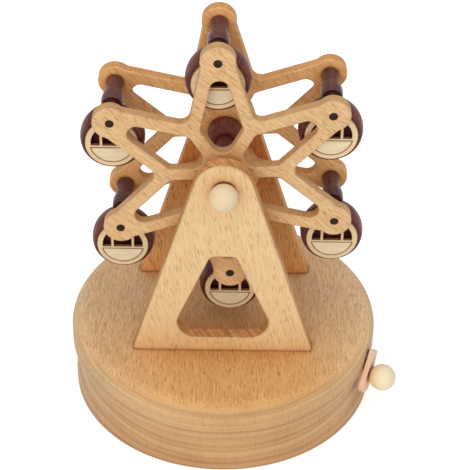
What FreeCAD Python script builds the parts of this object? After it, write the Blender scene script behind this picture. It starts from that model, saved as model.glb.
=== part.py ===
import FreeCAD, Part
import math
import os

# Hand-cranked wooden Ferris wheel toy. Millimetres, +Z up, origin at the centre of the base on the table.
# The wheel turns in the XZ plane and its axle lies along Y, with the front of the toy towards -Y.

# ---- Fits ----
run_fit = 0.05              # radial clearance of a shaft that turns in its hole
glue_fit = 0.03             # radial clearance of a glued or pressed pin
face_gap = 0.3              # gap between faces that turn past each other
edge_bevel = 0.4            # broken edge of the sawn boards
weld = 0.001                # tolerance of the join between the worm's thread and its core
flat_limit = 1e-6           # extent below which an edge counts as lying in a plane

# ---- Base ----
base_radius = 58.0
base_foot_inset = 0.8       # foot inside the band's radius
base_foot_bevel = 0.5
base_foot_height = 5.0
base_band_width = 10.8      # upright band under the top face, rounding included
base_top_round = 5.4
base_cove_depth = 1.4
base_cove_edge_round = 1.0  # soft edges where the cove meets the band and the foot
base_top_board = 3.6
base_wall = 10.0            # wall round the cavity
cover_ledge = 5.0           # ledge in the wall that the cover lies against
cover_thickness = 3.0
cover_fit = 0.1
sound_hole_radius = 1.6
sound_hole_count = 8
sound_hole_ring = 41.0

# ---- Wheel ----
wheel_rest_turn = 3.13      # degrees that the arms stand past upright, anticlockwise from the front
arm_count = 6
pin_circle_radius = 44.0
frame_thickness = 4.5
arm_end_radius = 6.1
arm_bar_width = 4.45
arm_bar_slope = 0.25        # sideways run of a bar per unit of its rise
arm_apex_rise = 3.5         # beyond the pin, where the inner edges of an arm's two bars would meet
spoke_width = 4.5
eye_bottom_round = 4.0
eye_shoulder_round = 2.0
eye_tip_round = 3.3
valley_round = 3.5
neck_round = 3.0
pin_radius = 1.5
pin_depth = 2.4             # how far a pin reaches into the spindle's bore
hub_radius = 6.15
hub_bead_length = 8.2       # thick part of the hub, at the rear
hub_bead_round = 2.6
hub_neck_radius = 3.1
axle_radius = 2.5
bush_wall = 1.5
spacer_radius = 4.3
front_spacing = 5.2         # wheel frame to support, at the front
rear_spacing = 3.6          # wheel frame to support, at the rear

# ---- Cabins ----
cabin_radius = 11.4
cabin_hang = 11.5           # cabin centre below its pin
cabin_body_length = 9.8
cabin_front_cut = 4.2       # front face ahead of the ball's centre
cabin_recess_radius = 7.6
cabin_recess_depth = 3.0
cabin_rim_bevel = 0.3
cabin_front_gap = 0.9
cabin_floor_gap = 4.9       # lowest cabin above the base
plate_thickness = 1.3
plate_radius = 9.25
plate_ear_radius = 4.6
plate_opening_radius = 7.3
plate_mullion_width = 0.9
plate_mullion_spread = 3.7
plate_bar_drop = 0.9        # top of the cross bar below the cabin centre
plate_bar_width = 0.7
plate_line_width = 0.3
plate_line_depth = 0.35
plate_panel_radius = 7.75
bead_radius = 3.9           # at the bead's belly
bead_rim_radius = 3.75      # before its front edge is rounded
bead_shoulder_radius = 3.25
bead_setback = 5.3          # bead behind the cabin's front face
bead_length = 7.7
bead_belly_share = 0.55     # place of the belly along the bead, from its front
bead_round = 0.6
stem_waist_radius = 2.88
stem_foot_radius = 3.2
stem_length = 7.7
neck_radius = 2.1           # spindle ahead of the bead, up to the front plate
saddle_fit = 0.07

# ---- Supports ----
support_half_width = 33.2
support_thickness = 5.5
support_arch_radius = 10.4
support_corner_round = 1.2
sill_height = 5.9
window_top_drop = 28.5      # top of the window below the axle
leg_foot_width = 11.2
leg_top_width = 15.2
window_foot_round = 7.0
window_top_round = 2.6

# ---- Ball caps ----
ball_radius = 5.0
ball_flat_drop = 3.6        # flat of the cap ahead of the ball's centre

# ---- Crank ----
crank_turn = 27.0           # degrees from +X towards the front
crank_offset = 7.0          # crank shaft beside the radius that the crank faces along
crank_arm_thickness = 2.1
crank_wide_half = 4.4       # half width of the arm's wide end
crank_wide_round = 3.2
crank_wide_back = 7.3       # wide end's edge behind the shaft
crank_wide_drop = 10.9      # wide end's edge below the shaft
crank_narrow_half = 2.1
crank_narrow_round = 0.7
crank_narrow_ahead = 1.8
crank_narrow_rise = 2.8
crank_edge_round = 0.3
crank_shaft_bite = 1.5      # how deep the shaft sits in the arm's blind hole
knob_radius = 5.0
knob_back = 2.7
knob_drop = 4.8
knob_flat = 0.1             # flat where the knob seats on the arm
knob_pin_radius = 1.0
knob_pin_depth = 3.0
crank_shaft_radius = 1.5
crank_bush_wall = 1.2
crank_below_top = 7.8
collar_wall = 1.6
collar_length = 2.6

# ---- Movement ----
gear_teeth = 18
gear_pitch_radius = 7.45
gear_addendum = 0.55
gear_dedendum = 0.75
gear_width = 2.2
gear_backlash = 0.4         # shared between thread and tooth at the pitch line
flank_slope = 0.27          # half angle of the teeth, as run per unit of depth
tip_clearance = 0.2
worm_turns = 3
worm_root_radius = 2.2
bedplate_thickness = 1.6
bedplate_margin = 3.0
bracket_thickness = 1.6
bracket_half_width = 4.0
bracket_over = 2.6          # bracket above the shaft that it carries
arbor_radius = 1.2
tune_radius = 6.5
tune_length = 21.0
tune_gap = 1.9              # between the tune cylinder and the worm wheel
tune_pin_radius = 0.25
tune_pin_height = 0.6
tune_note_turn = 100.0      # degrees from one note's pin to the next
comb_teeth = 18
comb_slit = 0.3
comb_thickness = 0.8
comb_reach = 9.0
comb_back = 6.0
comb_pin_gap = 0.25

# ---- Belt drive ----
belt_radius = 0.9
belt_fit = 0.2
belt_hole_margin = 0.7
belt_standoff = 3.6         # belt behind the rear support
axle_pulley_radius = 5.0    # to the belt's centre line
drive_pulley_radius = 5.0
pulley_flange = 0.7         # flange above the belt's centre line
pulley_width = 4.2

# ---- Screws ----
screw_radius = 0.9
screw_head_radius = 1.9
screw_head_height = 1.2
cover_screw_length = 11.0
support_screw_bite = 9.0    # how far a support screw reaches into the leg
cover_screw_count = 4

# ---- Derived places ----
X_AXIS = FreeCAD.Vector(1, 0, 0)
Y_AXIS = FreeCAD.Vector(0, 1, 0)
Z_AXIS = FreeCAD.Vector(0, 0, 1)
ORIGIN = FreeCAD.Vector(0, 0, 0)

arm_inner_apex = pin_circle_radius + arm_apex_rise
base_foot_radius = base_radius - base_foot_inset
base_cavity_radius = base_radius - base_wall
cover_radius = base_cavity_radius + cover_ledge
gear_tip_radius = gear_pitch_radius + gear_addendum
gear_root_radius = gear_pitch_radius - gear_dedendum
worm_pitch = 2 * math.pi * gear_pitch_radius / gear_teeth
worm_pitch_radius = worm_root_radius + tip_clearance + gear_addendum
worm_tip_radius = worm_pitch_radius + gear_dedendum - tip_clearance
bedplate_top = cover_thickness + bedplate_thickness
arbor_height = bedplate_top + face_gap + gear_tip_radius
crank_height = arbor_height + gear_pitch_radius + worm_pitch_radius
base_height = crank_height + crank_below_top
base_ceiling = base_height - base_top_board
base_band_bottom = base_height - base_band_width
axle_height = base_height + cabin_floor_gap + cabin_radius + cabin_hang + pin_circle_radius

wheel_inner_width = (cabin_front_gap + plate_thickness + bead_setback + bead_length
                     + stem_length + face_gap)
wheel_width = wheel_inner_width + 2 * frame_thickness
support_inner = (wheel_width + front_spacing + rear_spacing) / 2
support_outer = support_inner + support_thickness
wheel_front = front_spacing - support_inner
wheel_rear = wheel_front + wheel_width
wheel_inner_front = wheel_front + frame_thickness
wheel_inner_rear = wheel_rear - frame_thickness
plate_front = wheel_inner_front + cabin_front_gap
cabin_front = plate_front + plate_thickness
cabin_middle = cabin_front + cabin_front_cut
cabin_rear = cabin_front + cabin_body_length
bead_front = cabin_front + bead_setback
bead_rear = bead_front + bead_length
stem_rear = bead_rear + stem_length

front_cap_flat = -support_outer - face_gap
belt_plane = support_outer + belt_standoff
pulley_front = belt_plane - pulley_width / 2
pulley_rear = belt_plane + pulley_width / 2
bush_radius = axle_radius + run_fit + bush_wall
crank_bush_radius = crank_shaft_radius + run_fit + crank_bush_wall

crank_plane = base_radius + face_gap
crank_face = crank_plane + crank_arm_thickness
arbor_place = -belt_plane * math.sin(math.radians(crank_turn))
drive_plane = belt_plane * math.cos(math.radians(crank_turn))
gear_front = crank_offset - gear_width / 2
tune_rear = gear_front - tune_gap
tune_front = tune_rear - tune_length
arbor_front_bracket = tune_front - face_gap - bracket_thickness
arbor_rear_bracket = drive_plane - pulley_width / 2 - 2 * face_gap - bracket_thickness
shaft_bracket = arbor_place - gear_tip_radius - 2 * face_gap - bracket_thickness
comb_tip = arbor_place + tune_radius + tune_pin_height + comb_pin_gap
comb_root = comb_tip + comb_reach
comb_end = comb_root + comb_back
bedplate_left = shaft_bracket - bedplate_margin
bedplate_right = comb_end + bedplate_margin
bedplate_front = arbor_front_bracket - bedplate_margin
bedplate_rear = arbor_rear_bracket + bracket_thickness + bedplate_margin

# ---- General forms ----


def flat_point(x, z):
    return FreeCAD.Vector(x, 0, z)


def corner_arc(before, corner, after, radius):
    """Arc of the given radius that rounds a corner: its start, middle and end."""
    back = (before - corner).normalize()
    ahead = (after - corner).normalize()
    half = back.getAngle(ahead) / 2
    reach = radius / math.tan(half)
    inward = (back + ahead).normalize()
    middle = corner + inward * (radius / math.sin(half) - radius)
    return corner + back * reach, middle, corner + ahead * reach


def rounded_outline(corners):
    """Closed wire through (point, radius) corners, each rounded by its own radius."""
    arcs = []
    for i, (corner, radius) in enumerate(corners):
        before = corners[i - 1][0]
        after = corners[(i + 1) % len(corners)][0]
        arcs.append(corner_arc(before, corner, after, radius))
    edges = []
    for i, (start, middle, end) in enumerate(arcs):
        edges.append(Part.Arc(start, middle, end).toShape())
        edges.append(Part.makeLine(end, arcs[(i + 1) % len(arcs)][0]))
    return Part.Wire(edges)


def board(wire, front, thickness):
    """Board cut to an outline in the XZ plane, from front backwards."""
    solid = Part.Face(wire).extrude(Y_AXIS * thickness)
    solid.translate(Y_AXIS * front)
    return solid


def turned(points, x=0, z=0):
    """Piece turned about a line along Y, from (radius, y) points; three points in a tuple make an arc."""
    edges = []
    last = None
    for item in points:
        if isinstance(item[0], tuple):
            middle, end = [FreeCAD.Vector(p[0], p[1], 0) for p in item]
            edges.append(Part.Arc(last, middle, end).toShape())
        else:
            end = FreeCAD.Vector(item[0], item[1], 0)
            if last is not None:
                edges.append(Part.makeLine(last, end))
        last = end
    edges.append(Part.makeLine(last, edges[0].Vertexes[0].Point))
    solid = Part.Face(Part.Wire(edges)).revolve(ORIGIN, Y_AXIS, 360)
    solid.translate(FreeCAD.Vector(x, 0, z))
    return solid


def rod(radius, front, rear, x=0, z=0):
    """Round bar along Y."""
    return Part.makeCylinder(radius, rear - front, FreeCAD.Vector(x, front, z), Y_AXIS)


def tube(outer, inner, front, rear, x=0, z=0):
    return rod(outer, front, rear, x, z).cut(rod(inner, front, rear, x, z))


def cross_rod(radius, start, end, y, z):
    """Round bar along X."""
    return Part.makeCylinder(radius, end - start, FreeCAD.Vector(start, y, z), X_AXIS)


def post(radius, bottom, top, x, y):
    """Round bar along Z."""
    return Part.makeCylinder(radius, top - bottom, FreeCAD.Vector(x, y, bottom), Z_AXIS)


def block(x0, x1, y0, y1, z0, z1):
    return Part.makeBox(x1 - x0, y1 - y0, z1 - z0, FreeCAD.Vector(x0, y0, z0))


def bevel_faces(solid, size):
    """Breaks the outline edges of both faces of a board, and leaves its round holes sharp."""
    edges = []
    for edge in solid.Edges:
        hole = isinstance(edge.Curve, Part.Circle) and edge.isClosed()
        if edge.BoundBox.YLength < flat_limit and not hole:
            edges.append(edge)
    return solid.makeChamfer(size, edges)


def to_crank(shape):
    """Turns a piece laid out along X and Y to the direction that the crank faces."""
    return shape.rotated(ORIGIN, Z_AXIS, -crank_turn)


def to_arm(shape, k):
    """Turns a piece laid out on an upright arm to arm k of the wheel."""
    turn = wheel_rest_turn + k * 360 / arm_count
    return shape.rotated(flat_point(0, axle_height), Y_AXIS, -turn)


def arm_point(k):
    """Pin centre of arm k in the wheel's plane."""
    angle = math.radians(90 + wheel_rest_turn + k * 360 / arm_count)
    rise = pin_circle_radius * math.sin(angle)
    return flat_point(pin_circle_radius * math.cos(angle), axle_height + rise)


def countersunk_screw(x, y, length):
    """Wood screw driven upwards, its head flush with the table side of the cover."""
    head = Part.makeCone(screw_head_radius, screw_radius, screw_head_height, FreeCAD.Vector(x, y, 0), Z_AXIS)
    return head.fuse(post(screw_radius, screw_head_height, length, x, y)).removeSplitter()


def round_head_screw(x, y, seat, tip, up=1):
    """Screw with a flat round head whose underside lies on seat; up is the way its shank points."""
    head = post(screw_head_radius, 0, screw_head_height, x, y)
    head.translate(Z_AXIS * (seat - (screw_head_height if up > 0 else 0)))
    shank = post(screw_radius, min(seat, tip), max(seat, tip), x, y)
    return head.fuse(shank).removeSplitter()


# ---- Base ----


def cover_screw_places():
    ring = (base_cavity_radius + cover_radius) / 2
    for k in range(cover_screw_count):
        angle = math.radians(45 + k * 360 / cover_screw_count)
        yield ring * math.cos(angle), ring * math.sin(angle)


def outer_half_width(height):
    """Half width of a support at a height above the base."""
    return support_half_width - height * side_run()


def side_run():
    """Sideways run per unit of rise of a support's side, tangent to the arch at its top."""
    rise = axle_height - base_height
    reach = math.hypot(support_half_width, rise)
    lean = math.atan2(support_half_width, rise) - math.asin(support_arch_radius / reach)
    return math.tan(lean)


def support_screw_places():
    across = outer_half_width(sill_height) - leg_foot_width / 2
    along = (support_inner + support_outer) / 2
    for x in (-across, across):
        for y in (-along, along):
            yield x, y


def belt_ends():
    """Belt's two runs as (lower end, upper end), where they leave the pulleys."""
    for side in (-1, 1):
        low = FreeCAD.Vector(arbor_place + side * drive_pulley_radius, drive_plane, arbor_height)
        turn = FreeCAD.Rotation(Z_AXIS, -crank_turn)
        high = FreeCAD.Vector(side * axle_pulley_radius, belt_plane, axle_height)
        yield turn.multVec(low), high


def belt_point(low, high, height):
    """Point of a belt run at a height."""
    return low + (high - low) * ((height - low.z) / (high.z - low.z))


def base_profile():
    waist = flat_point(base_foot_radius - base_cove_depth, (base_foot_height + base_band_bottom) / 2)
    foot_top = flat_point(base_foot_radius, base_foot_height)
    band_low = flat_point(base_radius, base_band_bottom)
    band_high = flat_point(base_radius, base_height - base_top_round)
    top_edge = flat_point(base_radius - base_top_round, base_height)
    quarter = base_top_round * (1 - math.sqrt(0.5))
    rounding = flat_point(base_radius - quarter, base_height - quarter)
    rebate = cover_radius + cover_fit
    corners = [flat_point(0, base_height), flat_point(0, base_ceiling),
               flat_point(base_cavity_radius, base_ceiling), flat_point(base_cavity_radius, cover_thickness),
               flat_point(rebate, cover_thickness), flat_point(rebate, 0),
               flat_point(base_foot_radius - base_foot_bevel, 0),
               flat_point(base_foot_radius, base_foot_bevel), foot_top]
    edges = [Part.makeLine(a, b) for a, b in zip(corners, corners[1:])]
    edges.append(Part.Arc(foot_top, waist, band_low).toShape())
    edges.append(Part.makeLine(band_low, band_high))
    edges.append(Part.Arc(band_high, rounding, top_edge).toShape())
    edges.append(Part.makeLine(top_edge, corners[0]))
    return Part.Wire(edges)


def cove_edges(solid):
    """Rings where the cove meets the band above it and the foot below it."""
    rings = []
    for edge in solid.Edges:
        box = edge.BoundBox
        drop = min(abs(box.ZMax - base_foot_height), abs(box.ZMax - base_band_bottom))
        if box.ZLength < flat_limit and drop < flat_limit:
            rings.append(edge)
    return rings


def base_body():
    """Turned base, hollow from below, with its holes for the crank, the belt and the screws."""
    solid = Part.Face(base_profile()).revolve(ORIGIN, Z_AXIS, 360)
    solid = solid.makeFillet(base_cove_edge_round, cove_edges(solid))
    crank_hole = cross_rod(crank_bush_radius + glue_fit, 0, base_radius + 1, crank_offset, crank_height)
    solid = solid.cut(to_crank(crank_hole))
    for low, high in belt_ends():
        centre = belt_point(low, high, (base_ceiling + base_height) / 2)
        hole = post(belt_radius + belt_hole_margin, base_ceiling, base_height, centre.x, centre.y)
        solid = solid.cut(hole)
    for x, y in cover_screw_places():
        solid = solid.cut(post(screw_radius, 0, cover_screw_length, x, y))
    for x, y in support_screw_places():
        solid = solid.cut(post(screw_radius, base_ceiling, base_height, x, y))
    return solid


def base_cover():
    """Bottom board in its rebate, with a ring of sound holes."""
    solid = post(cover_radius, 0, cover_thickness, 0, 0)
    for k in range(sound_hole_count):
        angle = math.radians(k * 360 / sound_hole_count)
        x = sound_hole_ring * math.cos(angle)
        y = sound_hole_ring * math.sin(angle)
        solid = solid.cut(post(sound_hole_radius, 0, cover_thickness, x, y))
    for x, y in cover_screw_places():
        solid = solid.cut(countersunk_screw(x, y, cover_screw_length))
    return solid.cut(movement_screws())


def cover_screws():
    screws = [countersunk_screw(x, y, cover_screw_length) for x, y in cover_screw_places()]
    return Part.makeCompound(screws)


# ---- Supports ----


def support_outline(foot):
    """Triangle standing at height foot, its top rounded about the axle."""
    apex = base_height + support_half_width / side_run()
    half = outer_half_width(foot - base_height)
    return rounded_outline([(flat_point(-half, foot), support_corner_round),
                            (flat_point(0, apex), support_arch_radius),
                            (flat_point(half, foot), support_corner_round)])


def support_window():
    top = axle_height - window_top_drop
    top_half = outer_half_width(top - base_height) - leg_top_width
    foot_half = outer_half_width(sill_height) - leg_foot_width
    sill = base_height + sill_height
    return rounded_outline([(flat_point(-foot_half, sill), window_foot_round),
                            (flat_point(-top_half, top), window_top_round),
                            (flat_point(top_half, top), window_top_round),
                            (flat_point(foot_half, sill), window_foot_round)])


def support(front):
    """A-shaped board with a rounded window, bored for the axle's bush and cut off square at its foot."""
    foot = base_height - edge_bevel
    solid = board(support_outline(foot), front, support_thickness)
    solid = solid.cut(board(support_window(), front, support_thickness))
    solid = solid.cut(rod(bush_radius + glue_fit, front, front + support_thickness, 0, axle_height))
    solid = bevel_faces(solid, edge_bevel)
    reach = outer_half_width(-edge_bevel)
    solid = solid.cut(block(-reach, reach, front, front + support_thickness, foot, base_height))
    for x, y in support_screw_places():
        solid = solid.cut(post(screw_radius, base_height, base_height + support_screw_bite, x, y))
    return solid


def support_screws():
    tip = base_height + support_screw_bite
    screws = [round_head_screw(x, y, base_ceiling, tip) for x, y in support_screw_places()]
    return Part.makeCompound(screws)


def axle_bush(front):
    return tube(bush_radius, axle_radius + run_fit, front, front + support_thickness, 0, axle_height)


# ---- Wheel ----


def arm_outline():
    """Outer edges of one upright arm, from the valley on its left to the valley on its right."""
    lean = math.atan(arm_bar_slope)
    outward = flat_point(math.cos(lean), math.sin(lean))
    upward = flat_point(-math.sin(lean), math.cos(lean))
    outer_apex = arm_inner_apex + arm_bar_width / math.sin(lean)
    pin = flat_point(0, pin_circle_radius)
    edge_offset = (outer_apex - pin_circle_radius) * math.sin(lean)
    along = math.sqrt((arm_end_radius + neck_round) ** 2 - (edge_offset + neck_round) ** 2)
    neck = pin + outward * (edge_offset + neck_round) - upward * along
    neck_low = neck - outward * neck_round
    neck_high = pin + (neck - pin).normalize() * arm_end_radius
    neck_middle = neck + ((neck_low + neck_high) * 0.5 - neck).normalize() * neck_round
    half_step = math.radians(180 / arm_count)
    valley_height = arm_bar_slope * outer_apex / (math.tan(half_step) + arm_bar_slope)
    valley = flat_point(valley_height * math.tan(half_step), valley_height)
    beyond = ORIGIN + (neck_low - valley)
    step = FreeCAD.Rotation(Y_AXIS, 2 * math.degrees(half_step))
    next_bar = valley + step.multVec(flat_point(-beyond.x, beyond.z))
    start, middle, end = corner_arc(neck_low, valley, next_bar, valley_round)
    left_start = FreeCAD.Rotation(Y_AXIS, -2 * math.degrees(half_step)).multVec(end)
    crown = flat_point(0, pin_circle_radius + arm_end_radius)
    return [Part.makeLine(left_start, mirrored(neck_low)),
            Part.Arc(mirrored(neck_low), mirrored(neck_middle), mirrored(neck_high)).toShape(),
            Part.Arc(mirrored(neck_high), crown, neck_high).toShape(),
            Part.Arc(neck_high, neck_middle, neck_low).toShape(),
            Part.makeLine(neck_low, start),
            Part.Arc(start, middle, end).toShape()]


def mirrored(point):
    return flat_point(-point.x, point.z)


def arm_eye():
    """Kite-shaped opening between an arm's two bars and the spokes that they stand on."""
    half_step = math.radians(180 / arm_count)
    bottom = spoke_width / 2 / math.sin(half_step)
    spoke_run = math.tan(half_step)
    shoulder = (arm_bar_slope * arm_inner_apex + bottom * spoke_run) / (spoke_run + arm_bar_slope)
    half_width = (shoulder - bottom) * spoke_run
    return rounded_outline([(flat_point(0, bottom), eye_bottom_round),
                            (flat_point(-half_width, shoulder), eye_shoulder_round),
                            (flat_point(0, arm_inner_apex), eye_tip_round),
                            (flat_point(half_width, shoulder), eye_shoulder_round)])


def wheel_frame(front):
    """Lattice of six arms, bored for the axle and the cabin pins."""
    edges = []
    for k in range(arm_count):
        for edge in arm_outline():
            edges.append(edge.rotated(ORIGIN, Y_AXIS, k * 360 / arm_count))
    solid = board(Part.Wire(edges), front, frame_thickness)
    for k in range(arm_count):
        eye = board(arm_eye(), front, frame_thickness)
        solid = solid.cut(eye.rotated(ORIGIN, Y_AXIS, k * 360 / arm_count))
    solid = bevel_faces(solid, edge_bevel)
    solid.translate(Z_AXIS * axle_height)
    solid = to_arm(solid, 0)
    for k in range(arm_count):
        place = arm_point(k)
        pin_hole = rod(pin_radius + glue_fit, front, front + frame_thickness, place.x, place.z)
        solid = solid.cut(pin_hole)
    return solid.cut(rod(axle_radius + glue_fit, front, front + frame_thickness, 0, axle_height))


def cabin_pins(front, rear):
    rods = [rod(pin_radius, front, rear, arm_point(k).x, arm_point(k).z) for k in range(arm_count)]
    return Part.makeCompound(rods)


def wheel_hub():
    """Turned hub between the frames: a thick bead at the rear and a slim neck up to the front frame."""
    bead_end = wheel_inner_rear - hub_bead_length
    shoulder = hub_radius - hub_bead_round
    flank = math.sqrt(0.5) * hub_bead_round
    bend = (shoulder + flank, bead_end + hub_bead_round - flank)
    bore = axle_radius + glue_fit
    return turned([(bore, wheel_inner_front), (hub_neck_radius, wheel_inner_front),
                   (hub_neck_radius, bead_end), (shoulder, bead_end),
                   (bend, (hub_radius, bead_end + hub_bead_round)),
                   (hub_radius, wheel_inner_rear), (bore, wheel_inner_rear)], 0, axle_height)


def wheel_axle():
    front = front_cap_flat - ball_flat_drop / 2
    rear = pulley_rear + ball_flat_drop / 2
    return rod(axle_radius, front, rear, 0, axle_height)


def axle_spacer(front, rear):
    return tube(spacer_radius, axle_radius + glue_fit, front, rear, 0, axle_height)


def ball_cap(flat, way):
    """Ball with a flat and a blind bore for the axle; way is -1 towards the front, 1 towards the rear."""
    centre = flat + way * ball_flat_drop
    ball = Part.makeSphere(ball_radius, FreeCAD.Vector(0, centre, axle_height))
    far = centre + way * ball_radius
    low, high = sorted((flat, far))
    ball = ball.common(block(-ball_radius, ball_radius, low, high, axle_height - ball_radius,
                             axle_height + ball_radius))
    bore_end = flat + way * (ball_flat_drop / 2 + glue_fit)
    low, high = sorted((flat, bore_end))
    return ball.cut(rod(axle_radius + glue_fit, low, high, 0, axle_height))


def pulley(middle, pitch, bore, x, z):
    """Small pulley with a round-bottomed groove for the belt."""
    groove = belt_radius + belt_fit
    flange = pitch + pulley_flange
    front = middle - pulley_width / 2
    rear = middle + pulley_width / 2
    return turned([(bore, front), (flange, front), (flange, middle - groove), (pitch, middle - groove),
                   ((pitch - groove, middle), (pitch, middle + groove)), (flange, middle + groove),
                   (flange, rear), (bore, rear)], x, z)


# ---- Cabins ----


def cabin_body(pin):
    """Ball with two flats, a round recess behind the windows and a saddle for its spindle."""
    radius = cabin_radius
    front_edge = math.sqrt(radius ** 2 - cabin_front_cut ** 2)
    rear_cut = cabin_rear - cabin_middle
    rear_edge = math.sqrt(radius ** 2 - rear_cut ** 2)
    recess = cabin_front + cabin_recess_depth
    shoulder = cabin_front + cabin_rim_bevel
    shoulder_edge = math.sqrt(radius ** 2 - (cabin_middle - shoulder) ** 2)
    z = pin.z - cabin_hang
    solid = turned([(0, recess), (cabin_recess_radius, recess), (cabin_recess_radius, cabin_front),
                    (front_edge - cabin_rim_bevel, cabin_front), (shoulder_edge, shoulder),
                    ((radius, cabin_middle), (rear_edge, cabin_rear)), (0, cabin_rear)], pin.x, z)
    solid = solid.cut(rod(neck_radius + saddle_fit, cabin_front, bead_front, pin.x, pin.z))
    return solid.cut(rod(bead_radius + saddle_fit, bead_front, bead_rear, pin.x, pin.z))


def cabin_spindle(pin):
    """Neck, bead and waisted stem on the pin's axis, glued into the cabin's saddle and bored for both pins."""
    bore = pin_radius + run_fit
    front_floor = bead_front + pin_depth + face_gap
    rear_floor = stem_rear - pin_depth - face_gap
    flank = math.sqrt(0.5) * bead_round
    inner = bead_rim_radius - bead_round
    front_bend = (inner + flank, bead_front + bead_round - flank)
    belly = (bead_radius, bead_front + bead_belly_share * bead_length)
    flare = ((3 * stem_waist_radius + stem_foot_radius) / 4, (bead_rear + stem_rear) / 2)
    return turned([(bore, cabin_front), (neck_radius, cabin_front), (neck_radius, bead_front),
                   (inner, bead_front), (front_bend, (bead_rim_radius, bead_front + bead_round)),
                   (belly, (bead_shoulder_radius, bead_rear)), (stem_waist_radius, bead_rear),
                   (flare, (stem_foot_radius, stem_rear)), (bore, stem_rear),
                   (bore, rear_floor), (0, rear_floor), (0, front_floor), (bore, front_floor)], pin.x, pin.z)


def cabin_front_plate(pin):
    """Thin ring with an ear on the pin, three windows above a bar and a half-moon panel below."""
    z = pin.z - cabin_hang
    rear = plate_front + plate_thickness
    solid = rod(plate_radius, plate_front, rear, pin.x, z)
    solid = solid.fuse(rod(plate_ear_radius, plate_front, rear, pin.x, pin.z)).removeSplitter()
    solid = solid.cut(rod(pin_radius + run_fit, plate_front, rear, pin.x, pin.z))
    bar_top = z - plate_bar_drop
    windows = rod(plate_opening_radius, plate_front, rear, pin.x, z)
    reach = plate_radius
    windows = windows.cut(block(pin.x - reach, pin.x + reach, plate_front, rear, z - reach, bar_top))
    for side in (-1, 1):
        middle = pin.x + side * plate_mullion_spread
        half = plate_mullion_width / 2
        windows = windows.cut(block(middle - half, middle + half, plate_front, rear, z - reach, z + reach))
    solid = solid.cut(windows)
    floor = plate_front + plate_line_depth
    moon = tube(plate_panel_radius, plate_panel_radius - plate_line_width, plate_front, floor, pin.x, z)
    line_top = bar_top - plate_bar_width
    moon = moon.cut(block(pin.x - reach, pin.x + reach, plate_front, floor, line_top, z + reach))
    inner = plate_panel_radius - plate_line_width / 2
    chord = math.sqrt(inner ** 2 - (z - line_top) ** 2)
    line = block(pin.x - chord, pin.x + chord, plate_front, floor, line_top - plate_line_width, line_top)
    return solid.cut(moon.fuse(line))


# ---- Crank ----


def crank_arm():
    """Small tapered plate with a wide end under the knob and a narrow end on the shaft."""
    wide = FreeCAD.Vector(0, crank_offset - crank_wide_back, crank_height - crank_wide_drop)
    narrow = FreeCAD.Vector(0, crank_offset + crank_narrow_ahead, crank_height + crank_narrow_rise)
    side = X_AXIS.cross(narrow - wide).normalize()
    wire = rounded_outline([(wide + side * crank_wide_half, crank_wide_round),
                            (narrow + side * crank_narrow_half, crank_narrow_round),
                            (narrow - side * crank_narrow_half, crank_narrow_round),
                            (wide - side * crank_wide_half, crank_wide_round)])
    solid = Part.Face(wire).extrude(X_AXIS * crank_arm_thickness)
    solid.translate(X_AXIS * crank_plane)
    rim = [edge for edge in solid.Edges if edge.BoundBox.XLength < flat_limit]
    solid = solid.makeFillet(crank_edge_round, rim)
    solid = solid.cut(cross_rod(crank_shaft_radius + glue_fit, crank_plane, shaft_end() + glue_fit,
                                crank_offset, crank_height))
    solid = solid.cut(cross_rod(knob_pin_radius + glue_fit, crank_plane, crank_face, knob_across(),
                                knob_height()))
    return to_crank(solid)


def shaft_end():
    return crank_plane + crank_shaft_bite


def knob_across():
    return crank_offset - knob_back


def knob_height():
    return crank_height - knob_drop


def crank_knob():
    """Ball glued on its pin, with a small flat against the arm."""
    middle = crank_face + knob_radius - knob_flat
    ball = Part.makeSphere(knob_radius, FreeCAD.Vector(middle, knob_across(), knob_height()))
    reach = 2 * knob_radius
    ball = ball.cut(block(crank_face - reach, crank_face, knob_across() - reach, knob_across() + reach,
                          knob_height() - reach, knob_height() + reach))
    bore = cross_rod(knob_pin_radius + glue_fit, crank_face, crank_face + knob_pin_depth, knob_across(),
                     knob_height())
    return to_crank(ball.cut(bore))


def knob_pin():
    pin = cross_rod(knob_pin_radius, crank_plane, crank_face + knob_pin_depth, knob_across(), knob_height())
    return to_crank(pin)


def crank_shaft():
    return to_crank(cross_rod(crank_shaft_radius, shaft_bracket - face_gap, shaft_end(), crank_offset,
                              crank_height))


def wall_inside():
    """Base wall's nearest inside point to the crank bush, along the crank."""
    far_side = abs(crank_offset) + crank_bush_radius
    return math.sqrt(base_cavity_radius ** 2 - far_side ** 2)


def crank_bush():
    """Plain bearing through the base's wall."""
    far_side = abs(crank_offset) + crank_bush_radius
    outside = math.sqrt(base_radius ** 2 - far_side ** 2)
    solid = cross_rod(crank_bush_radius, wall_inside() - face_gap, outside, crank_offset, crank_height)
    bore = cross_rod(crank_shaft_radius + run_fit, 0, base_radius, crank_offset, crank_height)
    return to_crank(solid.cut(bore))


def crank_collar():
    """Ring on the shaft inside the wall, which keeps the crank from being pulled out."""
    end = wall_inside() - 2 * face_gap
    ring = cross_rod(crank_shaft_radius + collar_wall, end - collar_length, end, crank_offset, crank_height)
    bore = cross_rod(crank_shaft_radius + glue_fit, 0, base_radius, crank_offset, crank_height)
    return to_crank(ring.cut(bore))


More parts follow.
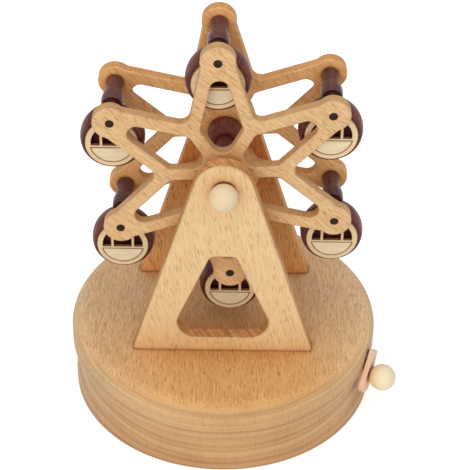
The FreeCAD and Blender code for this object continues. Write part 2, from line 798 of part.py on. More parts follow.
def crank_worm():
    """Right-handed single-start worm whose lower side has a gap over the middle of the worm wheel."""
    length = worm_turns * worm_pitch
    helix = Part.makeHelix(worm_pitch, length, worm_root_radius)
    half_pitch = (worm_pitch - gear_backlash) / 4
    root_half = half_pitch + flank_slope * (worm_pitch_radius - worm_root_radius)
    tip_half = half_pitch - flank_slope * (worm_tip_radius - worm_pitch_radius)
    sunk = worm_root_radius - tip_clearance
    corners = [flat_point(sunk, -root_half), flat_point(worm_root_radius, -root_half),
               flat_point(worm_tip_radius, -tip_half), flat_point(worm_tip_radius, tip_half),
               flat_point(worm_root_radius, root_half), flat_point(sunk, root_half)]
    profile = Part.makePolygon(corners + corners[:1])
    thread = Part.Wire([helix]).makePipeShell([profile], True, True)
    run_out = worm_pitch / 2
    core = Part.makeCylinder(worm_root_radius, length + 2 * run_out, Z_AXIS * -run_out)
    bore = Part.makeCylinder(crank_shaft_radius + glue_fit, length + 2 * run_out, Z_AXIS * -run_out)
    solid = core.cut(bore).multiFuse([thread], weld)
    solid.translate(Z_AXIS * (-length / 2))
    solid = solid.rotated(ORIGIN, Y_AXIS, 90)
    solid.translate(FreeCAD.Vector(arbor_place, crank_offset, crank_height))
    return to_crank(solid)


# ---- Movement ----


def worm_wheel():
    """Wheel with straight trapezoid teeth, one of them pointing up at rest."""
    step = 2 * math.pi / gear_teeth
    pitch_half = (worm_pitch - gear_backlash) / 4
    root_half = (pitch_half + flank_slope * gear_dedendum) / gear_root_radius
    tip_half = (pitch_half - flank_slope * gear_addendum) / gear_tip_radius
    points = []
    for k in range(gear_teeth):
        for radius, turn in ((gear_root_radius, -root_half), (gear_tip_radius, -tip_half),
                             (gear_tip_radius, tip_half), (gear_root_radius, root_half)):
            angle = k * step + turn
            points.append(flat_point(radius * math.sin(angle), radius * math.cos(angle)))
    solid = board(Part.makePolygon(points + points[:1]), gear_front, gear_width)
    solid = solid.cut(rod(arbor_radius + glue_fit, gear_front, gear_front + gear_width))
    solid.translate(FreeCAD.Vector(arbor_place, 0, arbor_height))
    return to_crank(solid)


def cylinder_arbor():
    front = arbor_front_bracket - face_gap
    rear = drive_plane + pulley_width / 2
    return to_crank(rod(arbor_radius, front, rear, arbor_place, arbor_height))


def comb_pitch():
    return tune_length / comb_teeth


def tune_cylinder():
    """Drum with a short pin for each note, spread in steps about it."""
    drum = tube(tune_radius, arbor_radius + glue_fit, tune_front, tune_rear)
    for k in range(comb_teeth):
        along = tune_front + (k + 0.5) * comb_pitch()
        foot = FreeCAD.Vector(tune_radius - tune_pin_height, along, 0)
        pin = Part.makeCylinder(tune_pin_radius, 2 * tune_pin_height, foot, X_AXIS)
        drum = drum.fuse(pin.rotated(ORIGIN, Y_AXIS, k * tune_note_turn))
    drum.translate(FreeCAD.Vector(arbor_place, 0, arbor_height))
    return to_crank(drum)


def drive_pulley():
    bore = arbor_radius + glue_fit
    return to_crank(pulley(drive_plane, drive_pulley_radius, bore, arbor_place, arbor_height))


def comb_screw_places():
    for share in (0.2, 0.8):
        yield (comb_root + comb_end) / 2, tune_front + share * tune_length


def movement_screw_places():
    inset = bedplate_margin / 2
    middle = (arbor_front_bracket + arbor_rear_bracket) / 2
    yield bedplate_left + inset, bedplate_front + inset
    yield bedplate_left + inset, bedplate_rear - inset
    yield bedplate_right - inset, middle


def movement_screws():
    screws = [countersunk_screw(x, y, bedplate_top) for x, y in movement_screw_places()]
    return to_crank(Part.makeCompound(screws))


def bracket(x0, x1, y0, y1, top):
    return block(x0, x1, y0, y1, bedplate_top, top)


def movement_bedplate():
    """Plate on the cover with bearings for the arbor and the crank shaft, and a riser for the comb."""
    solid = block(bedplate_left, bedplate_right, bedplate_front, bedplate_rear, cover_thickness, bedplate_top)
    arbor_top = arbor_height + bracket_over
    for y in (arbor_front_bracket, arbor_rear_bracket):
        solid = solid.fuse(bracket(arbor_place - bracket_half_width, arbor_place + bracket_half_width,
                                   y, y + bracket_thickness, arbor_top))
    solid = solid.fuse(bracket(shaft_bracket, shaft_bracket + bracket_thickness,
                               crank_offset - bracket_half_width, crank_offset + bracket_half_width,
                               crank_height + bracket_over))
    solid = solid.fuse(bracket(comb_root, comb_end, tune_front, tune_rear, comb_bottom()))
    solid = solid.removeSplitter()
    arbor_bore = rod(arbor_radius + run_fit, bedplate_front, bedplate_rear, arbor_place, arbor_height)
    shaft_bore = cross_rod(crank_shaft_radius + run_fit, bedplate_left, arbor_place, crank_offset, crank_height)
    solid = solid.cut(arbor_bore).cut(shaft_bore)
    for x, y in comb_screw_places():
        solid = solid.cut(post(screw_radius, bedplate_top, comb_bottom(), x, y))
    for x, y in movement_screw_places():
        solid = solid.cut(post(screw_radius, cover_thickness, bedplate_top, x, y))
    return to_crank(solid)


def comb_bottom():
    return arbor_height - comb_thickness / 2


def tone_comb():
    """Steel comb whose teeth end just clear of the drum's pins."""
    top = comb_bottom() + comb_thickness
    solid = block(comb_tip, comb_end, tune_front, tune_rear, comb_bottom(), top)
    for k in range(1, comb_teeth):
        middle = tune_front + k * comb_pitch()
        half = comb_slit / 2
        solid = solid.cut(block(comb_tip, comb_root, middle - half, middle + half, comb_bottom(), top))
    for x, y in comb_screw_places():
        solid = solid.cut(post(screw_radius + glue_fit, comb_bottom(), top, x, y))
    return to_crank(solid)


def comb_screws():
    seat = comb_bottom() + comb_thickness
    screws = [round_head_screw(x, y, seat, bedplate_top, -1) for x, y in comb_screw_places()]
    return to_crank(Part.makeCompound(screws))


# ---- Belt ----


def belt_arc(x, y, z, pitch, way):
    """Half turn of the belt round a pulley, over it for way 1 and under it for way -1."""
    section = Part.makeCircle(belt_radius, FreeCAD.Vector(x + pitch, y, z), Z_AXIS)
    face = Part.Face(Part.Wire(section))
    return face.revolve(FreeCAD.Vector(x, y, z), Y_AXIS * -way, 180)


def drive_belt():
    """Round belt from the arbor's pulley up to the axle's, with a twist between them."""
    low_arc = to_crank(belt_arc(arbor_place, drive_plane, arbor_height, drive_pulley_radius, -1))
    solid = low_arc.fuse(belt_arc(0, belt_plane, axle_height, axle_pulley_radius, 1))
    for low, high in belt_ends():
        ends = [Part.Wire(Part.makeCircle(belt_radius, place, Z_AXIS)) for place in (low, high)]
        solid = solid.fuse(Part.makeLoft(ends, True, True))
    return solid


# ---- Nodes ----


def root_nodes():
    return {"base_body": base_body(), "base_cover": base_cover(), "cover_screws": cover_screws(),
            "front_support": support(-support_outer), "rear_support": support(support_inner),
            "support_screws": support_screws(), "front_axle_bush": axle_bush(-support_outer),
            "rear_axle_bush": axle_bush(support_inner), "crank_bush": crank_bush(),
            "movement_bedplate": movement_bedplate(), "movement_screws": movement_screws(),
            "tone_comb": tone_comb(), "comb_screws": comb_screws(), "drive_belt": drive_belt()}


def wheel_nodes():
    pin_front_end = bead_front + pin_depth
    pin_rear_start = stem_rear - pin_depth
    axle_pulley = pulley(belt_plane, axle_pulley_radius, axle_radius + glue_fit, 0, axle_height)
    return {"wheel_axle": wheel_axle(), "wheel_hub": wheel_hub(),
            "front_wheel_frame": wheel_frame(wheel_front), "rear_wheel_frame": wheel_frame(wheel_inner_rear),
            "front_spacer": axle_spacer(face_gap - support_inner, wheel_front),
            "rear_spacer": axle_spacer(wheel_rear, support_inner - face_gap),
            "front_axle_ball": ball_cap(front_cap_flat, -1), "rear_axle_ball": ball_cap(pulley_rear, 1),
            "axle_pulley": axle_pulley, "front_cabin_pins": cabin_pins(wheel_front, pin_front_end),
            "rear_cabin_pins": cabin_pins(pin_rear_start, wheel_rear)}


def crank_nodes():
    return {"crank_arm": crank_arm(), "crank_knob": crank_knob(), "knob_pin": knob_pin(),
            "crank_shaft": crank_shaft(), "crank_collar": crank_collar(), "crank_worm": crank_worm(),
            "cylinder_arbor": cylinder_arbor(), "tune_cylinder": tune_cylinder(),
            "worm_wheel": worm_wheel(), "drive_pulley": drive_pulley()}


def cabin_nodes():
    nodes = {}
    for k in range(arm_count):
        pin = arm_point(k)
        nodes["cabin_%d_body" % (k + 1)] = cabin_body(pin)
        nodes["cabin_%d_spindle" % (k + 1)] = cabin_spindle(pin)
        nodes["cabin_%d_front_plate" % (k + 1)] = cabin_front_plate(pin)
    return nodes


def build():
    os.makedirs("parts", exist_ok=True)
    for group in (root_nodes(), wheel_nodes(), crank_nodes(), cabin_nodes()):
        for name, shape in group.items():
            shape.exportStep("parts/" + name + ".step")


build()
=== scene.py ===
import logging
import math
from dataclasses import dataclass, field, replace
from enum import Enum
from typing import Any, Iterable, Optional

import bmesh
import bpy
from mathutils import Euler, Matrix, Vector


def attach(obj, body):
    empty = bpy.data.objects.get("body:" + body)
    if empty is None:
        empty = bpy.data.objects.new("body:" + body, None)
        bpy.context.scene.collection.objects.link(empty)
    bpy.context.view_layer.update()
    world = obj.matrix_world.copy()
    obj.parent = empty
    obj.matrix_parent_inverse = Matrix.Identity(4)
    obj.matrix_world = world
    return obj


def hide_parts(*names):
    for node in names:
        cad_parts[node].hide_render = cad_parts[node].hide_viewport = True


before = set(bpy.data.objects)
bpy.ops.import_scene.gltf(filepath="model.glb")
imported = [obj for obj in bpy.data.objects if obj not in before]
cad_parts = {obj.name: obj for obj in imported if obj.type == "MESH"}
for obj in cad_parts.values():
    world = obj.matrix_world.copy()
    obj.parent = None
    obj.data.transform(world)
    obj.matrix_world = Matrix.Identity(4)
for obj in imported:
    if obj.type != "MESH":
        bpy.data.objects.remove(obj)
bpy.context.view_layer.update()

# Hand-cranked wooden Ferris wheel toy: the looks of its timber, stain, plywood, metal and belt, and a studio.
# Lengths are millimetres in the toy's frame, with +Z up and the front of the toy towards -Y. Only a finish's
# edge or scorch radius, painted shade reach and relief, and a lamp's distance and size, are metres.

Colour = tuple[float, float, float]
Triple = tuple[float, float, float]
Socket = bpy.types.NodeSocket
Node = bpy.types.Node
Material = bpy.types.Material
Mesh = bmesh.types.BMesh

MM = 0.001
ORIGIN = (0.0, 0.0, 0.0)
WHITE = (1.0, 1.0, 1.0)
NO_TURN = Euler(ORIGIN)
MERGE_REACH = 1e-7
CUT_REACH = 1e-8
SHARP_TURN = math.radians(32.0)

log = logging.getLogger("ferris_wheel_toy")


# ---- Working with nodes ----


class NodeBench:
    """Lays nodes in one tree from left to right and joins them as it goes."""

    def __init__(self, tree: bpy.types.NodeTree) -> None:
        """Starts at the left of a tree.

        Args:
            tree: The material's or the group's node tree.
        """
        self.tree = tree
        self.place = 0

    def add(self, kind: str, inputs: Optional[dict[Any, Any]] = None, **settings: Any) -> Node:
        """Adds one node, sets it and feeds it.

        Args:
            kind: Blender's name for the node type, without the ShaderNode that most start with.
            inputs: Input name or number, to a plain value or to the output socket that feeds it.
            settings: The node's own properties.

        Returns:
            The new node.
        """
        node = self.tree.nodes.new(kind if kind.startswith("NodeGroup") else f"ShaderNode{kind}")
        node.location = (self.place % 12 * 190, -(self.place // 12) * 260)
        self.place += 1
        for name, value in settings.items():
            setattr(node, name, value)
        self.feed(node, inputs or {})
        return node

    def feed(self, node: Node, inputs: dict[Any, Any]) -> None:
        """Gives inputs their values, or joins them to outputs.

        Args:
            node: The node that takes them.
            inputs: Input name or number, to a number, colour or vector, or to an output socket.
        """
        for name, value in inputs.items():
            socket = node.inputs[name]
            if isinstance(value, Socket):
                self.tree.links.new(value, socket)
            elif socket.type == "RGBA" and len(value) == 3:
                socket.default_value = (*value, 1.0)
            else:
                socket.default_value = value

    def sum(self, operation: str, first: Any, second: Any = 0.0, clamp: bool = False) -> Socket:
        """Works one sum on one or two numbers.

        Args:
            operation: Name of the Math node's operation.
            first: Number or socket.
            second: Number or socket.
            clamp: Whether the result stays between 0 and 1.

        Returns:
            The socket with the result.
        """
        return self.add("Math", {0: first, 1: second}, operation=operation, use_clamp=clamp).outputs[0]

    def times(self, first: Any, second: Any) -> Socket:
        """Multiplies two numbers or sockets."""
        return self.sum("MULTIPLY", first, second)

    def vector(self, operation: str, first: Any, second: Any = ORIGIN) -> Socket:
        """Works one sum on one or two vectors.

        Args:
            operation: Name of the Vector Math node's operation.
            first: Vector or socket.
            second: Vector or socket.

        Returns:
            The socket with the result, which is a number for a length or a dot product.
        """
        node = self.add("VectorMath", {0: first, 1: second}, operation=operation)
        return node.outputs["Value" if operation in ("LENGTH", "DOT_PRODUCT") else 0]

    def stretched(self, place: Any, by: Any) -> Socket:
        """Multiplies a place by a vector, part by part."""
        return self.vector("MULTIPLY", place, by)

    def ramp(self, value: Any, low: float, high: float, to_low: float = 0.0, to_high: float = 1.0) -> Socket:
        """Maps a range of numbers smoothly to another.

        Args:
            value: Number or socket.
            low: Where the change starts.
            high: Where the change ends.
            to_low: Result at and before the start.
            to_high: Result at and after the end.

        Returns:
            The socket with the result.
        """
        inputs = {"Value": value, "From Min": low, "From Max": high, "To Min": to_low, "To Max": to_high}
        return self.add("MapRange", inputs, interpolation_type="SMOOTHSTEP").outputs["Result"]

    def blend(self, share: Any, first: Any, second: Any, way: str = "MIX") -> Socket:
        """Mixes two colours.

        Args:
            share: How much of the second colour.
            first: Colour or socket.
            second: Colour or socket.
            way: Name of the blending mode.

        Returns:
            The socket with the mixed colour.
        """
        return self.add("Mix", {0: share, 6: first, 7: second}, data_type="RGBA", blend_type=way).outputs[2]

    def noise(self, place: Any, detail: float = 2.0, roughness: float = 0.5, scale: float = 1.0) -> Socket:
        """Adds a noise texture.

        Args:
            place: Socket with the place.
            detail: Octaves.
            roughness: Weight of the finer octaves.
            scale: Waves per unit of the place.

        Returns:
            The socket with the noise, about 0.5 on average.
        """
        inputs = {"Vector": place, "Scale": scale, "Detail": detail, "Roughness": roughness}
        return self.add("TexNoise", inputs).outputs[0]


def cleared(owner: Any) -> NodeBench:
    """Empties the node tree of a material or a world.

    Args:
        owner: The material or the world.

    Returns:
        A bench for its tree.
    """
    owner.use_nodes = True
    owner.node_tree.nodes.clear()
    return NodeBench(owner.node_tree)


class EffectGroup:
    """Shader node group that is built once and then placed in any material."""

    name = ""
    takes: dict[str, Any] = {}
    gives: dict[str, str] = {}

    def tree(self) -> bpy.types.NodeTree:
        """Finds the group's tree, or builds it the first time.

        Returns:
            The node tree.
        """
        found = bpy.data.node_groups.get(self.name)
        if found:
            return found
        tree = bpy.data.node_groups.new(self.name, "ShaderNodeTree")
        for name, default in self.takes.items():
            kind = "Float" if isinstance(default, float) else {3: "Vector", 4: "Color"}[len(default)]
            socket = tree.interface.new_socket(name=name, in_out="INPUT", socket_type=f"NodeSocket{kind}")
            socket.default_value = default
        for name, kind in self.gives.items():
            tree.interface.new_socket(name=name, in_out="OUTPUT", socket_type=f"NodeSocket{kind}")
        bench = NodeBench(tree)
        source = bench.add("NodeGroupInput")
        bench.add("NodeGroupOutput", self.lay(bench, source.outputs))
        return tree

    def lay(self, bench: NodeBench, given: Any) -> dict[str, Socket]:
        """Lays the group's inner nodes.

        Args:
            bench: Where the nodes go.
            given: The group's inputs by name.

        Returns:
            Output name to the socket that feeds it.
        """
        raise NotImplementedError

    def put(self, bench: NodeBench, inputs: dict[str, Any]) -> Node:
        """Places the group in a material's tree and feeds its inputs."""
        return bench.add("Group", inputs, node_tree=self.tree())


class TimberFigure(EffectGroup):
    """Growth bands, fibres and ray flecks of solid timber. Its place is in millimetres, with the grain along
    X, the tangent of the growth bands along Y and their radius along Z."""

    name = "timber figure"
    takes = {"Place": ORIGIN, "Pale": (0.8, 0.6, 0.4, 1.0), "Deep": (0.5, 0.3, 0.15, 1.0),
             "Ray": (0.4, 0.2, 0.1, 1.0), "Pith": (0.0, 40.0, 60.0), "Band Pitch": 3.0, "Band Strength": 0.3,
             "Fibre Strength": 0.3, "Fleck Cell": (4.2, 0.75, 9.0), "Fleck Size": 0.32, "Fleck Share": 0.45,
             "Fleck Strength": 0.6, "Drift": 0.3, "Sway": 4.0}
    gives = {"Colour": "Color", "Height": "Float", "Dullness": "Float"}

    def lay(self, bench: NodeBench, given: Any) -> dict[str, Socket]:
        """Lays the bands, the fibres, the flecks and the slow drift of tone.

        Args:
            bench: Where the nodes go.
            given: The group's inputs by name.

        Returns:
            Output name to the socket that feeds it.
        """
        place = given["Place"]
        wander = bench.add("TexNoise", {"Vector": bench.stretched(place, (0.02, 0.04, 0.04)), "Scale": 1.0,
                                        "Detail": 1.0})
        centred = bench.vector("SUBTRACT", wander.outputs["Color"], (0.5, 0.5, 0.5))
        swing = bench.add("CombineXYZ", {1: given["Sway"], 2: given["Sway"]}).outputs[0]
        swayed = bench.vector("ADD", bench.stretched(centred, swing), place)
        from_pith = bench.vector("SUBTRACT", swayed, given["Pith"])
        reach = bench.vector("LENGTH", bench.stretched(from_pith, (0.0, 1.0, 1.0)))
        along = bench.add("SeparateXYZ", {0: place}).outputs[0]
        ring = bench.add("CombineXYZ", {0: bench.sum("DIVIDE", reach, given["Band Pitch"]),
                                        1: bench.times(along, 0.01)}).outputs[0]
        bands = bench.times(bench.ramp(bench.noise(ring, 4.0, 0.72), 0.36, 0.66), given["Band Strength"])
        fibre = bench.noise(bench.stretched(place, (0.16, 2.6, 2.6)), 4.0, 0.65)
        fine = bench.noise(bench.stretched(place, (0.35, 7.0, 7.0)), 2.0, 0.6)
        both = bench.sum("ADD", bench.times(fibre, 0.7), bench.times(fine, 0.3))
        fibres = bench.times(bench.ramp(both, 0.36, 0.64), given["Fibre Strength"])
        slow = bench.ramp(bench.noise(bench.stretched(place, (0.014, 0.035, 0.035))), 0.3, 0.7)
        drift = bench.times(slow, given["Drift"])
        depth = bench.sum("ADD", bench.sum("ADD", bands, fibres), drift, clamp=True)
        tone = bench.blend(depth, given["Pale"], given["Deep"])
        fleck = self.flecks(bench, given, swayed)
        return {"Colour": bench.blend(bench.times(fleck, given["Fleck Strength"]), tone, given["Ray"]),
                "Height": bench.sum("SUBTRACT", bench.times(both, 0.8), bench.times(fleck, 0.35)),
                "Dullness": bench.sum("ADD", bench.times(fibres, 0.25), bench.times(fleck, 0.12))}

    def flecks(self, bench: NodeBench, given: Any, place: Any) -> Socket:
        """Lays the rays as thin lenses that are long in the grain and tall across the bands.

        Args:
            bench: Where the nodes go.
            given: The group's inputs by name.
            place: Socket with the swayed place.

        Returns:
            The mask of the flecks.
        """
        bend = bench.noise(bench.stretched(place, (0.10, 0.2, 0.1)), 1.0)
        push = bench.times(bench.sum("SUBTRACT", bend, 0.5), 0.9)
        bent = bench.vector("ADD", place, bench.add("CombineXYZ", {1: push}).outputs[0])
        cells = bench.vector("DIVIDE", bent, given["Fleck Cell"])
        dots = bench.add("TexVoronoi", {"Vector": cells, "Scale": 1.0}, feature="F1")
        lens = bench.sum("DIVIDE", dots.outputs["Distance"], given["Fleck Size"])
        inside = bench.ramp(lens, 0.55, 1.0, 1.0, 0.0)
        pick = bench.add("SeparateColor", {0: dots.outputs["Color"]})
        chosen = bench.sum("LESS_THAN", pick.outputs[0], given["Fleck Share"])
        weight = bench.ramp(pick.outputs[1], 0.0, 1.0, 0.45, 1.0)
        return bench.times(bench.times(inside, chosen), weight)


class EdgeWearAndShade(EffectGroup):
    """Masks of the edges that hands and sandpaper rounded, and ambient-occlusion masks of the hollows and
    creases that paint shade.
    """

    name = "edge wear and painted shade"
    takes = {"Radius": 0.0004, "Shade Reach": 0.004, "Contact Shade Reach": 0.0012}
    gives = {"Edge": "Float", "Shade": "Float", "Contact Shade": "Float", "Normal": "Vector"}

    def lay(self, bench: NodeBench, given: Any) -> dict[str, Socket]:
        """Lays the rounded normal, its difference from the true one, and the masks of painted shade in the
        hollows and creases.

        Args:
            bench: Where the nodes go.
            given: The group's inputs by name.

        Returns:
            Output name to the socket that feeds it.
        """
        rounded = bench.add("Bevel", {"Radius": given["Radius"]}, samples=4).outputs[0]
        true = bench.add("NewGeometry").outputs["Normal"]
        match = bench.vector("DOT_PRODUCT", rounded, true)
        # Ambient occlusion used as painted shade: a wide mask for the hollows and a narrow one for the
        # contact lines between parts.
        painted_shade = bench.add("AmbientOcclusion", {"Distance": given["Shade Reach"]}, samples=6)
        contact_shade = bench.add("AmbientOcclusion", {"Distance": given["Contact Shade Reach"]}, samples=4)
        return {"Edge": bench.ramp(match, 0.9, 0.999, 1.0, 0.0),
                "Shade": bench.ramp(painted_shade.outputs["AO"], 0.35, 0.95, 1.0, 0.0),
                "Contact Shade": bench.ramp(contact_shade.outputs["AO"], 0.5, 0.95, 1.0, 0.0), "Normal": rounded}


class TurnedMarks(EffectGroup):
    """Fine rings left by a lathe or a grinding wheel, with specks and a slow change of tone. Its place is in
    millimetres, with the turning axis along X."""

    name = "turned marks"
    takes = {"Place": ORIGIN, "Pitch": 0.25}
    gives = {"Rings": "Float", "Specks": "Float", "Cloud": "Float"}

    def lay(self, bench: NodeBench, given: Any) -> dict[str, Socket]:
        """Lays the rings along the axis, the specks and the cloud.

        Args:
            bench: Where the nodes go.
            given: The group's inputs by name.

        Returns:
            Output name to the socket that feeds it.
        """
        place = given["Place"]
        along = bench.add("SeparateXYZ", {0: place}).outputs[0]
        reach = bench.vector("LENGTH", bench.stretched(place, (0.0, 1.0, 1.0)))
        line = bench.add("CombineXYZ", {0: bench.sum("DIVIDE", along, given["Pitch"]),
                                        1: bench.sum("DIVIDE", reach, given["Pitch"])}).outputs[0]
        specks = bench.ramp(bench.noise(place, 2.0, 0.6, scale=4.0), 0.62, 0.75)
        return {"Rings": bench.noise(line, 2.0, 0.7), "Specks": specks,
                "Cloud": bench.noise(place, 3.0, 0.6, scale=0.35)}


# ---- Finishes ----


def turn_to(along: Triple, radial: Triple) -> Euler:
    """Finds the turn that lays a pattern's X along one direction and its Z as near as it can along another.

    Args:
        along: Direction of the grain or of the turning axis, in the toy's frame.
        radial: Direction that the growth bands face.

    Returns:
        The turn for a Mapping node.
    """
    x = Vector(along).normalized()
    z = Vector(radial)
    z = (z - x * z.dot(x)).normalized()
    return Matrix((x, z.cross(x), z)).to_euler("XYZ")


def placed(bench: NodeBench, turn: Euler = NO_TURN, shift: Triple = ORIGIN,
           centre: Triple = ORIGIN) -> Socket:
    """Gives the place on a piece in millimetres, turned and shifted for its pattern.

    Args:
        bench: Bench of the material's tree.
        turn: Turn from the toy's frame to the pattern's.
        shift: Shift in millimetres after the turn.
        centre: Point in the toy's frame that the place is measured from.

    Returns:
        The socket with the place.
    """
    inputs = {"Vector": bench.add("TexCoord").outputs["Object"], "Rotation": turn, "Scale": (1 / MM,) * 3,
              "Location": Vector(shift) - turn.to_matrix() @ Vector(centre)}
    return bench.add("Mapping", inputs).outputs[0]


def facing_mask(bench: NodeBench, way: Triple, low: float, high: float) -> Socket:
    """Finds the faces that look along a direction or against it.

    Args:
        bench: Bench of the material's tree.
        way: The direction, in the toy's frame.
        low: Match at which the mask starts to grow, from 0 to 1.
        high: Match at which the mask is full.

    Returns:
        The mask.
    """
    normal = bench.add("NewGeometry").outputs["Normal"]
    match = bench.vector("DOT_PRODUCT", normal, tuple(Vector(way).normalized()))
    return bench.ramp(bench.sum("ABSOLUTE", match), low, high)


@dataclass(frozen=True)
class Finish:
    """Procedural finish of a piece."""

    name: str

    def material(self) -> Material:
        """Makes the material, with one Principled shader.

        Returns:
            The finished material.
        """
        material = bpy.data.materials.new(self.name)
        bench = cleared(material)
        shader = bench.add("BsdfPrincipled")
        bench.add("OutputMaterial", {"Surface": shader.outputs[0]})
        bench.feed(shader, self.surface(bench))
        return material

    def surface(self, bench: NodeBench) -> dict[str, Any]:
        """Lays the nodes of the finish.

        Args:
            bench: Bench of the material's tree.

        Returns:
            Input of the shader to its value or socket.
        """
        raise NotImplementedError


@dataclass(frozen=True)
class WoodFinish(Finish):
    """Sanded wood: the way its grain runs, its tones, its sheen, its rubbed edges, and painted shade in its
    hollows and creases.
    """

    grain: Triple = (0.0, 1.0, 0.0)
    radial: Triple = (0.0, 0.0, 1.0)
    shift: Triple = ORIGIN
    pale: Colour = (0.80, 0.545, 0.295)
    deep: Colour = (0.58, 0.335, 0.145)
    ray: Colour = (0.38, 0.155, 0.042)
    roughness: float = 0.52
    gloss: float = 0.35
    coat: float = 0.0
    coat_roughness: float = 0.35
    relief: float = 0.00003
    relief_strength: float = 0.8
    edge: Colour = (0.86, 0.66, 0.44)
    edge_share: float = 0.25
    edge_radius: float = 0.0004
    # Painted shade: a warm darkening of hollows and of places between parts, tinted like light bounced
    # between boards.
    painted_shade: Colour = (0.91, 0.62, 0.36)
    painted_shade_share: float = 0.6
    painted_shade_reach: float = 0.014
    # Painted contact shadow: a dark line in the creases where parts meet.
    contact_shade: Colour = (0.50, 0.38, 0.30)
    contact_shade_share: float = 0.8

    def figure(self, bench: NodeBench, inputs: dict[str, Any]) -> Node:
        """Lays the figure of the wood.

        Args:
            bench: Bench of the material's tree.
            inputs: The figure's inputs beside its place and its tones.

        Returns:
            The node with the figure.
        """
        tones = {"Pale": self.pale, "Deep": self.deep, "Ray": self.ray}
        place = placed(bench, turn_to(self.grain, self.radial), self.shift)
        return TimberFigure().put(bench, {"Place": place, **tones, **inputs})

    def worn_and_shaded(self, bench: NodeBench, figure: Node, colour: Socket) -> dict[str, Any]:
        """Adds the rubbed edges, the painted shade in hollows and creases, and the sheen.

        Args:
            bench: Bench of the material's tree.
            figure: The node with the figure.
            colour: Socket with the tone of the unworn wood.

        Returns:
            Input of the shader to its value or socket.
        """
        wear = EdgeWearAndShade().put(bench, {"Radius": self.edge_radius, "Shade Reach": self.painted_shade_reach})
        colour = bench.blend(bench.times(wear.outputs["Edge"], self.edge_share), colour, self.edge)
        # Painted shade, multiplied in where the surroundings hide the light, with a narrow painted contact
        # shadow after it.
        if self.painted_shade_share:
            painted_shade = bench.times(wear.outputs["Shade"], self.painted_shade_share)
            colour = bench.blend(painted_shade, colour, self.painted_shade, "MULTIPLY")
        contact_shade = bench.times(wear.outputs["Contact Shade"], self.contact_shade_share)
        bump = bench.add("Bump", {"Height": figure.outputs["Height"], "Distance": self.relief,
                                  "Strength": self.relief_strength, "Normal": wear.outputs["Normal"]})
        return {"Base Color": bench.blend(contact_shade, colour, self.contact_shade, "MULTIPLY"),
                "Roughness": bench.sum("ADD", figure.outputs["Dullness"], self.roughness),
                "Normal": bump.outputs[0], "Specular IOR Level": self.gloss, "Coat Weight": self.coat,
                "Coat Roughness": self.coat_roughness}


@dataclass(frozen=True)
class TimberFinish(WoodFinish):
    """Pale solid timber: how strongly its figure shows on its faces and edges, and where its tone changes."""

    face: Optional[Triple] = None
    # Tone multiplied into the faces that look away from face: partly the side grain's own tone, partly
    # painted shade on sides and sills.
    side_tone_and_shade: Colour = (0.80, 0.66, 0.52)
    side_tone_and_shade_share: float = 0.55
    pith: Triple = (0.0, 35.0, -60.0)
    band_pitch: float = 3.2
    band: float = 0.30
    slab_band: float = 1.0
    fibre: float = 0.26
    edge_fibre: float = 1.0
    fleck_cell: Triple = (3.0, 0.55, 8.0)
    fleck_size: float = 0.37
    fleck_share: float = 0.42
    fleck: float = 0.8
    edge_fleck: float = 0.6
    drift: float = 0.22
    sway: float = 4.0
    warm: Colour = (0.90, 0.74, 0.52)
    warm_centre: Triple = ORIGIN
    warm_reach: float = 0.0
    streak_way: Optional[Triple] = None
    streak_pitch: float = 1.7
    streak_pale: Colour = (1.30, 1.36, 1.48)
    streak_dark: Colour = (0.84, 0.76, 0.74)

    def surface(self, bench: NodeBench) -> dict[str, Any]:
        """Lays the figure, the tones of its sides, partly painted shade, and the rubbed edges and painted
        shade.

        Args:
            bench: Bench of the material's tree.

        Returns:
            Input of the shader to its value or socket.
        """
        slab = facing_mask(bench, self.radial, 0.6, 0.97)
        figure = self.figure(bench, {
            "Pith": self.pith, "Band Pitch": self.band_pitch,
            "Band Strength": bench.ramp(slab, 0.0, 1.0, self.band, self.band * self.slab_band),
            "Fibre Strength": bench.ramp(slab, 0.0, 1.0, self.fibre * self.edge_fibre, self.fibre),
            "Fleck Cell": self.fleck_cell, "Fleck Size": self.fleck_size, "Fleck Share": self.fleck_share,
            "Fleck Strength": bench.ramp(slab, 0.0, 1.0, self.fleck * self.edge_fleck, self.fleck),
            "Drift": self.drift, "Sway": self.sway})
        colour = figure.outputs["Colour"]
        if self.face:
            side = bench.sum("SUBTRACT", 1.0, facing_mask(bench, self.face, 0.35, 0.85))
            colour = bench.blend(bench.times(side, self.side_tone_and_shade_share), colour, self.side_tone_and_shade, "MULTIPLY")
        if self.streak_way:
            colour = self.end_streaks(bench, colour)
        if self.warm_reach:
            colour = self.warm_tone(bench, colour)
        return self.worn_and_shaded(bench, figure, colour)

    def warm_tone(self, bench: NodeBench, colour: Socket) -> Socket:
        """Warms the timber softly round one place, where the board is redder.

        Args:
            bench: Bench of the material's tree.
            colour: Socket with the tone of the timber.

        Returns:
            The socket with the warmed tone.
        """
        away = bench.vector("LENGTH", placed(bench, centre=self.warm_centre))
        near = bench.ramp(away, 0.25 * self.warm_reach, self.warm_reach, 1.0, 0.0)
        up = bench.ramp(facing_mask(bench, (0.0, 0.0, 1.0), 0.3, 0.95), 0.0, 1.0, 0.6, 1.0)
        return bench.blend(bench.times(near, up), colour, self.warm, "MULTIPLY")

    def end_streaks(self, bench: NodeBench, colour: Socket) -> Socket:
        """Draws the rays as pale and dark streaks on the end grain.

        Args:
            bench: Bench of the material's tree.
            colour: Socket with the tone of the timber.

        Returns:
            The socket with the streaked tone.
        """
        way = tuple(Vector(self.streak_way).normalized() / self.streak_pitch)
        across = bench.vector("DOT_PRODUCT", placed(bench, shift=self.shift), way)
        line = bench.add("CombineXYZ", {0: across}).outputs[0]
        streaks = bench.ramp(bench.noise(line, 2.0, 0.6), 0.40, 0.60)
        tone = bench.blend(streaks, self.streak_pale, self.streak_dark)
        return bench.blend(facing_mask(bench, self.grain, 0.7, 0.95), colour, tone, "MULTIPLY")


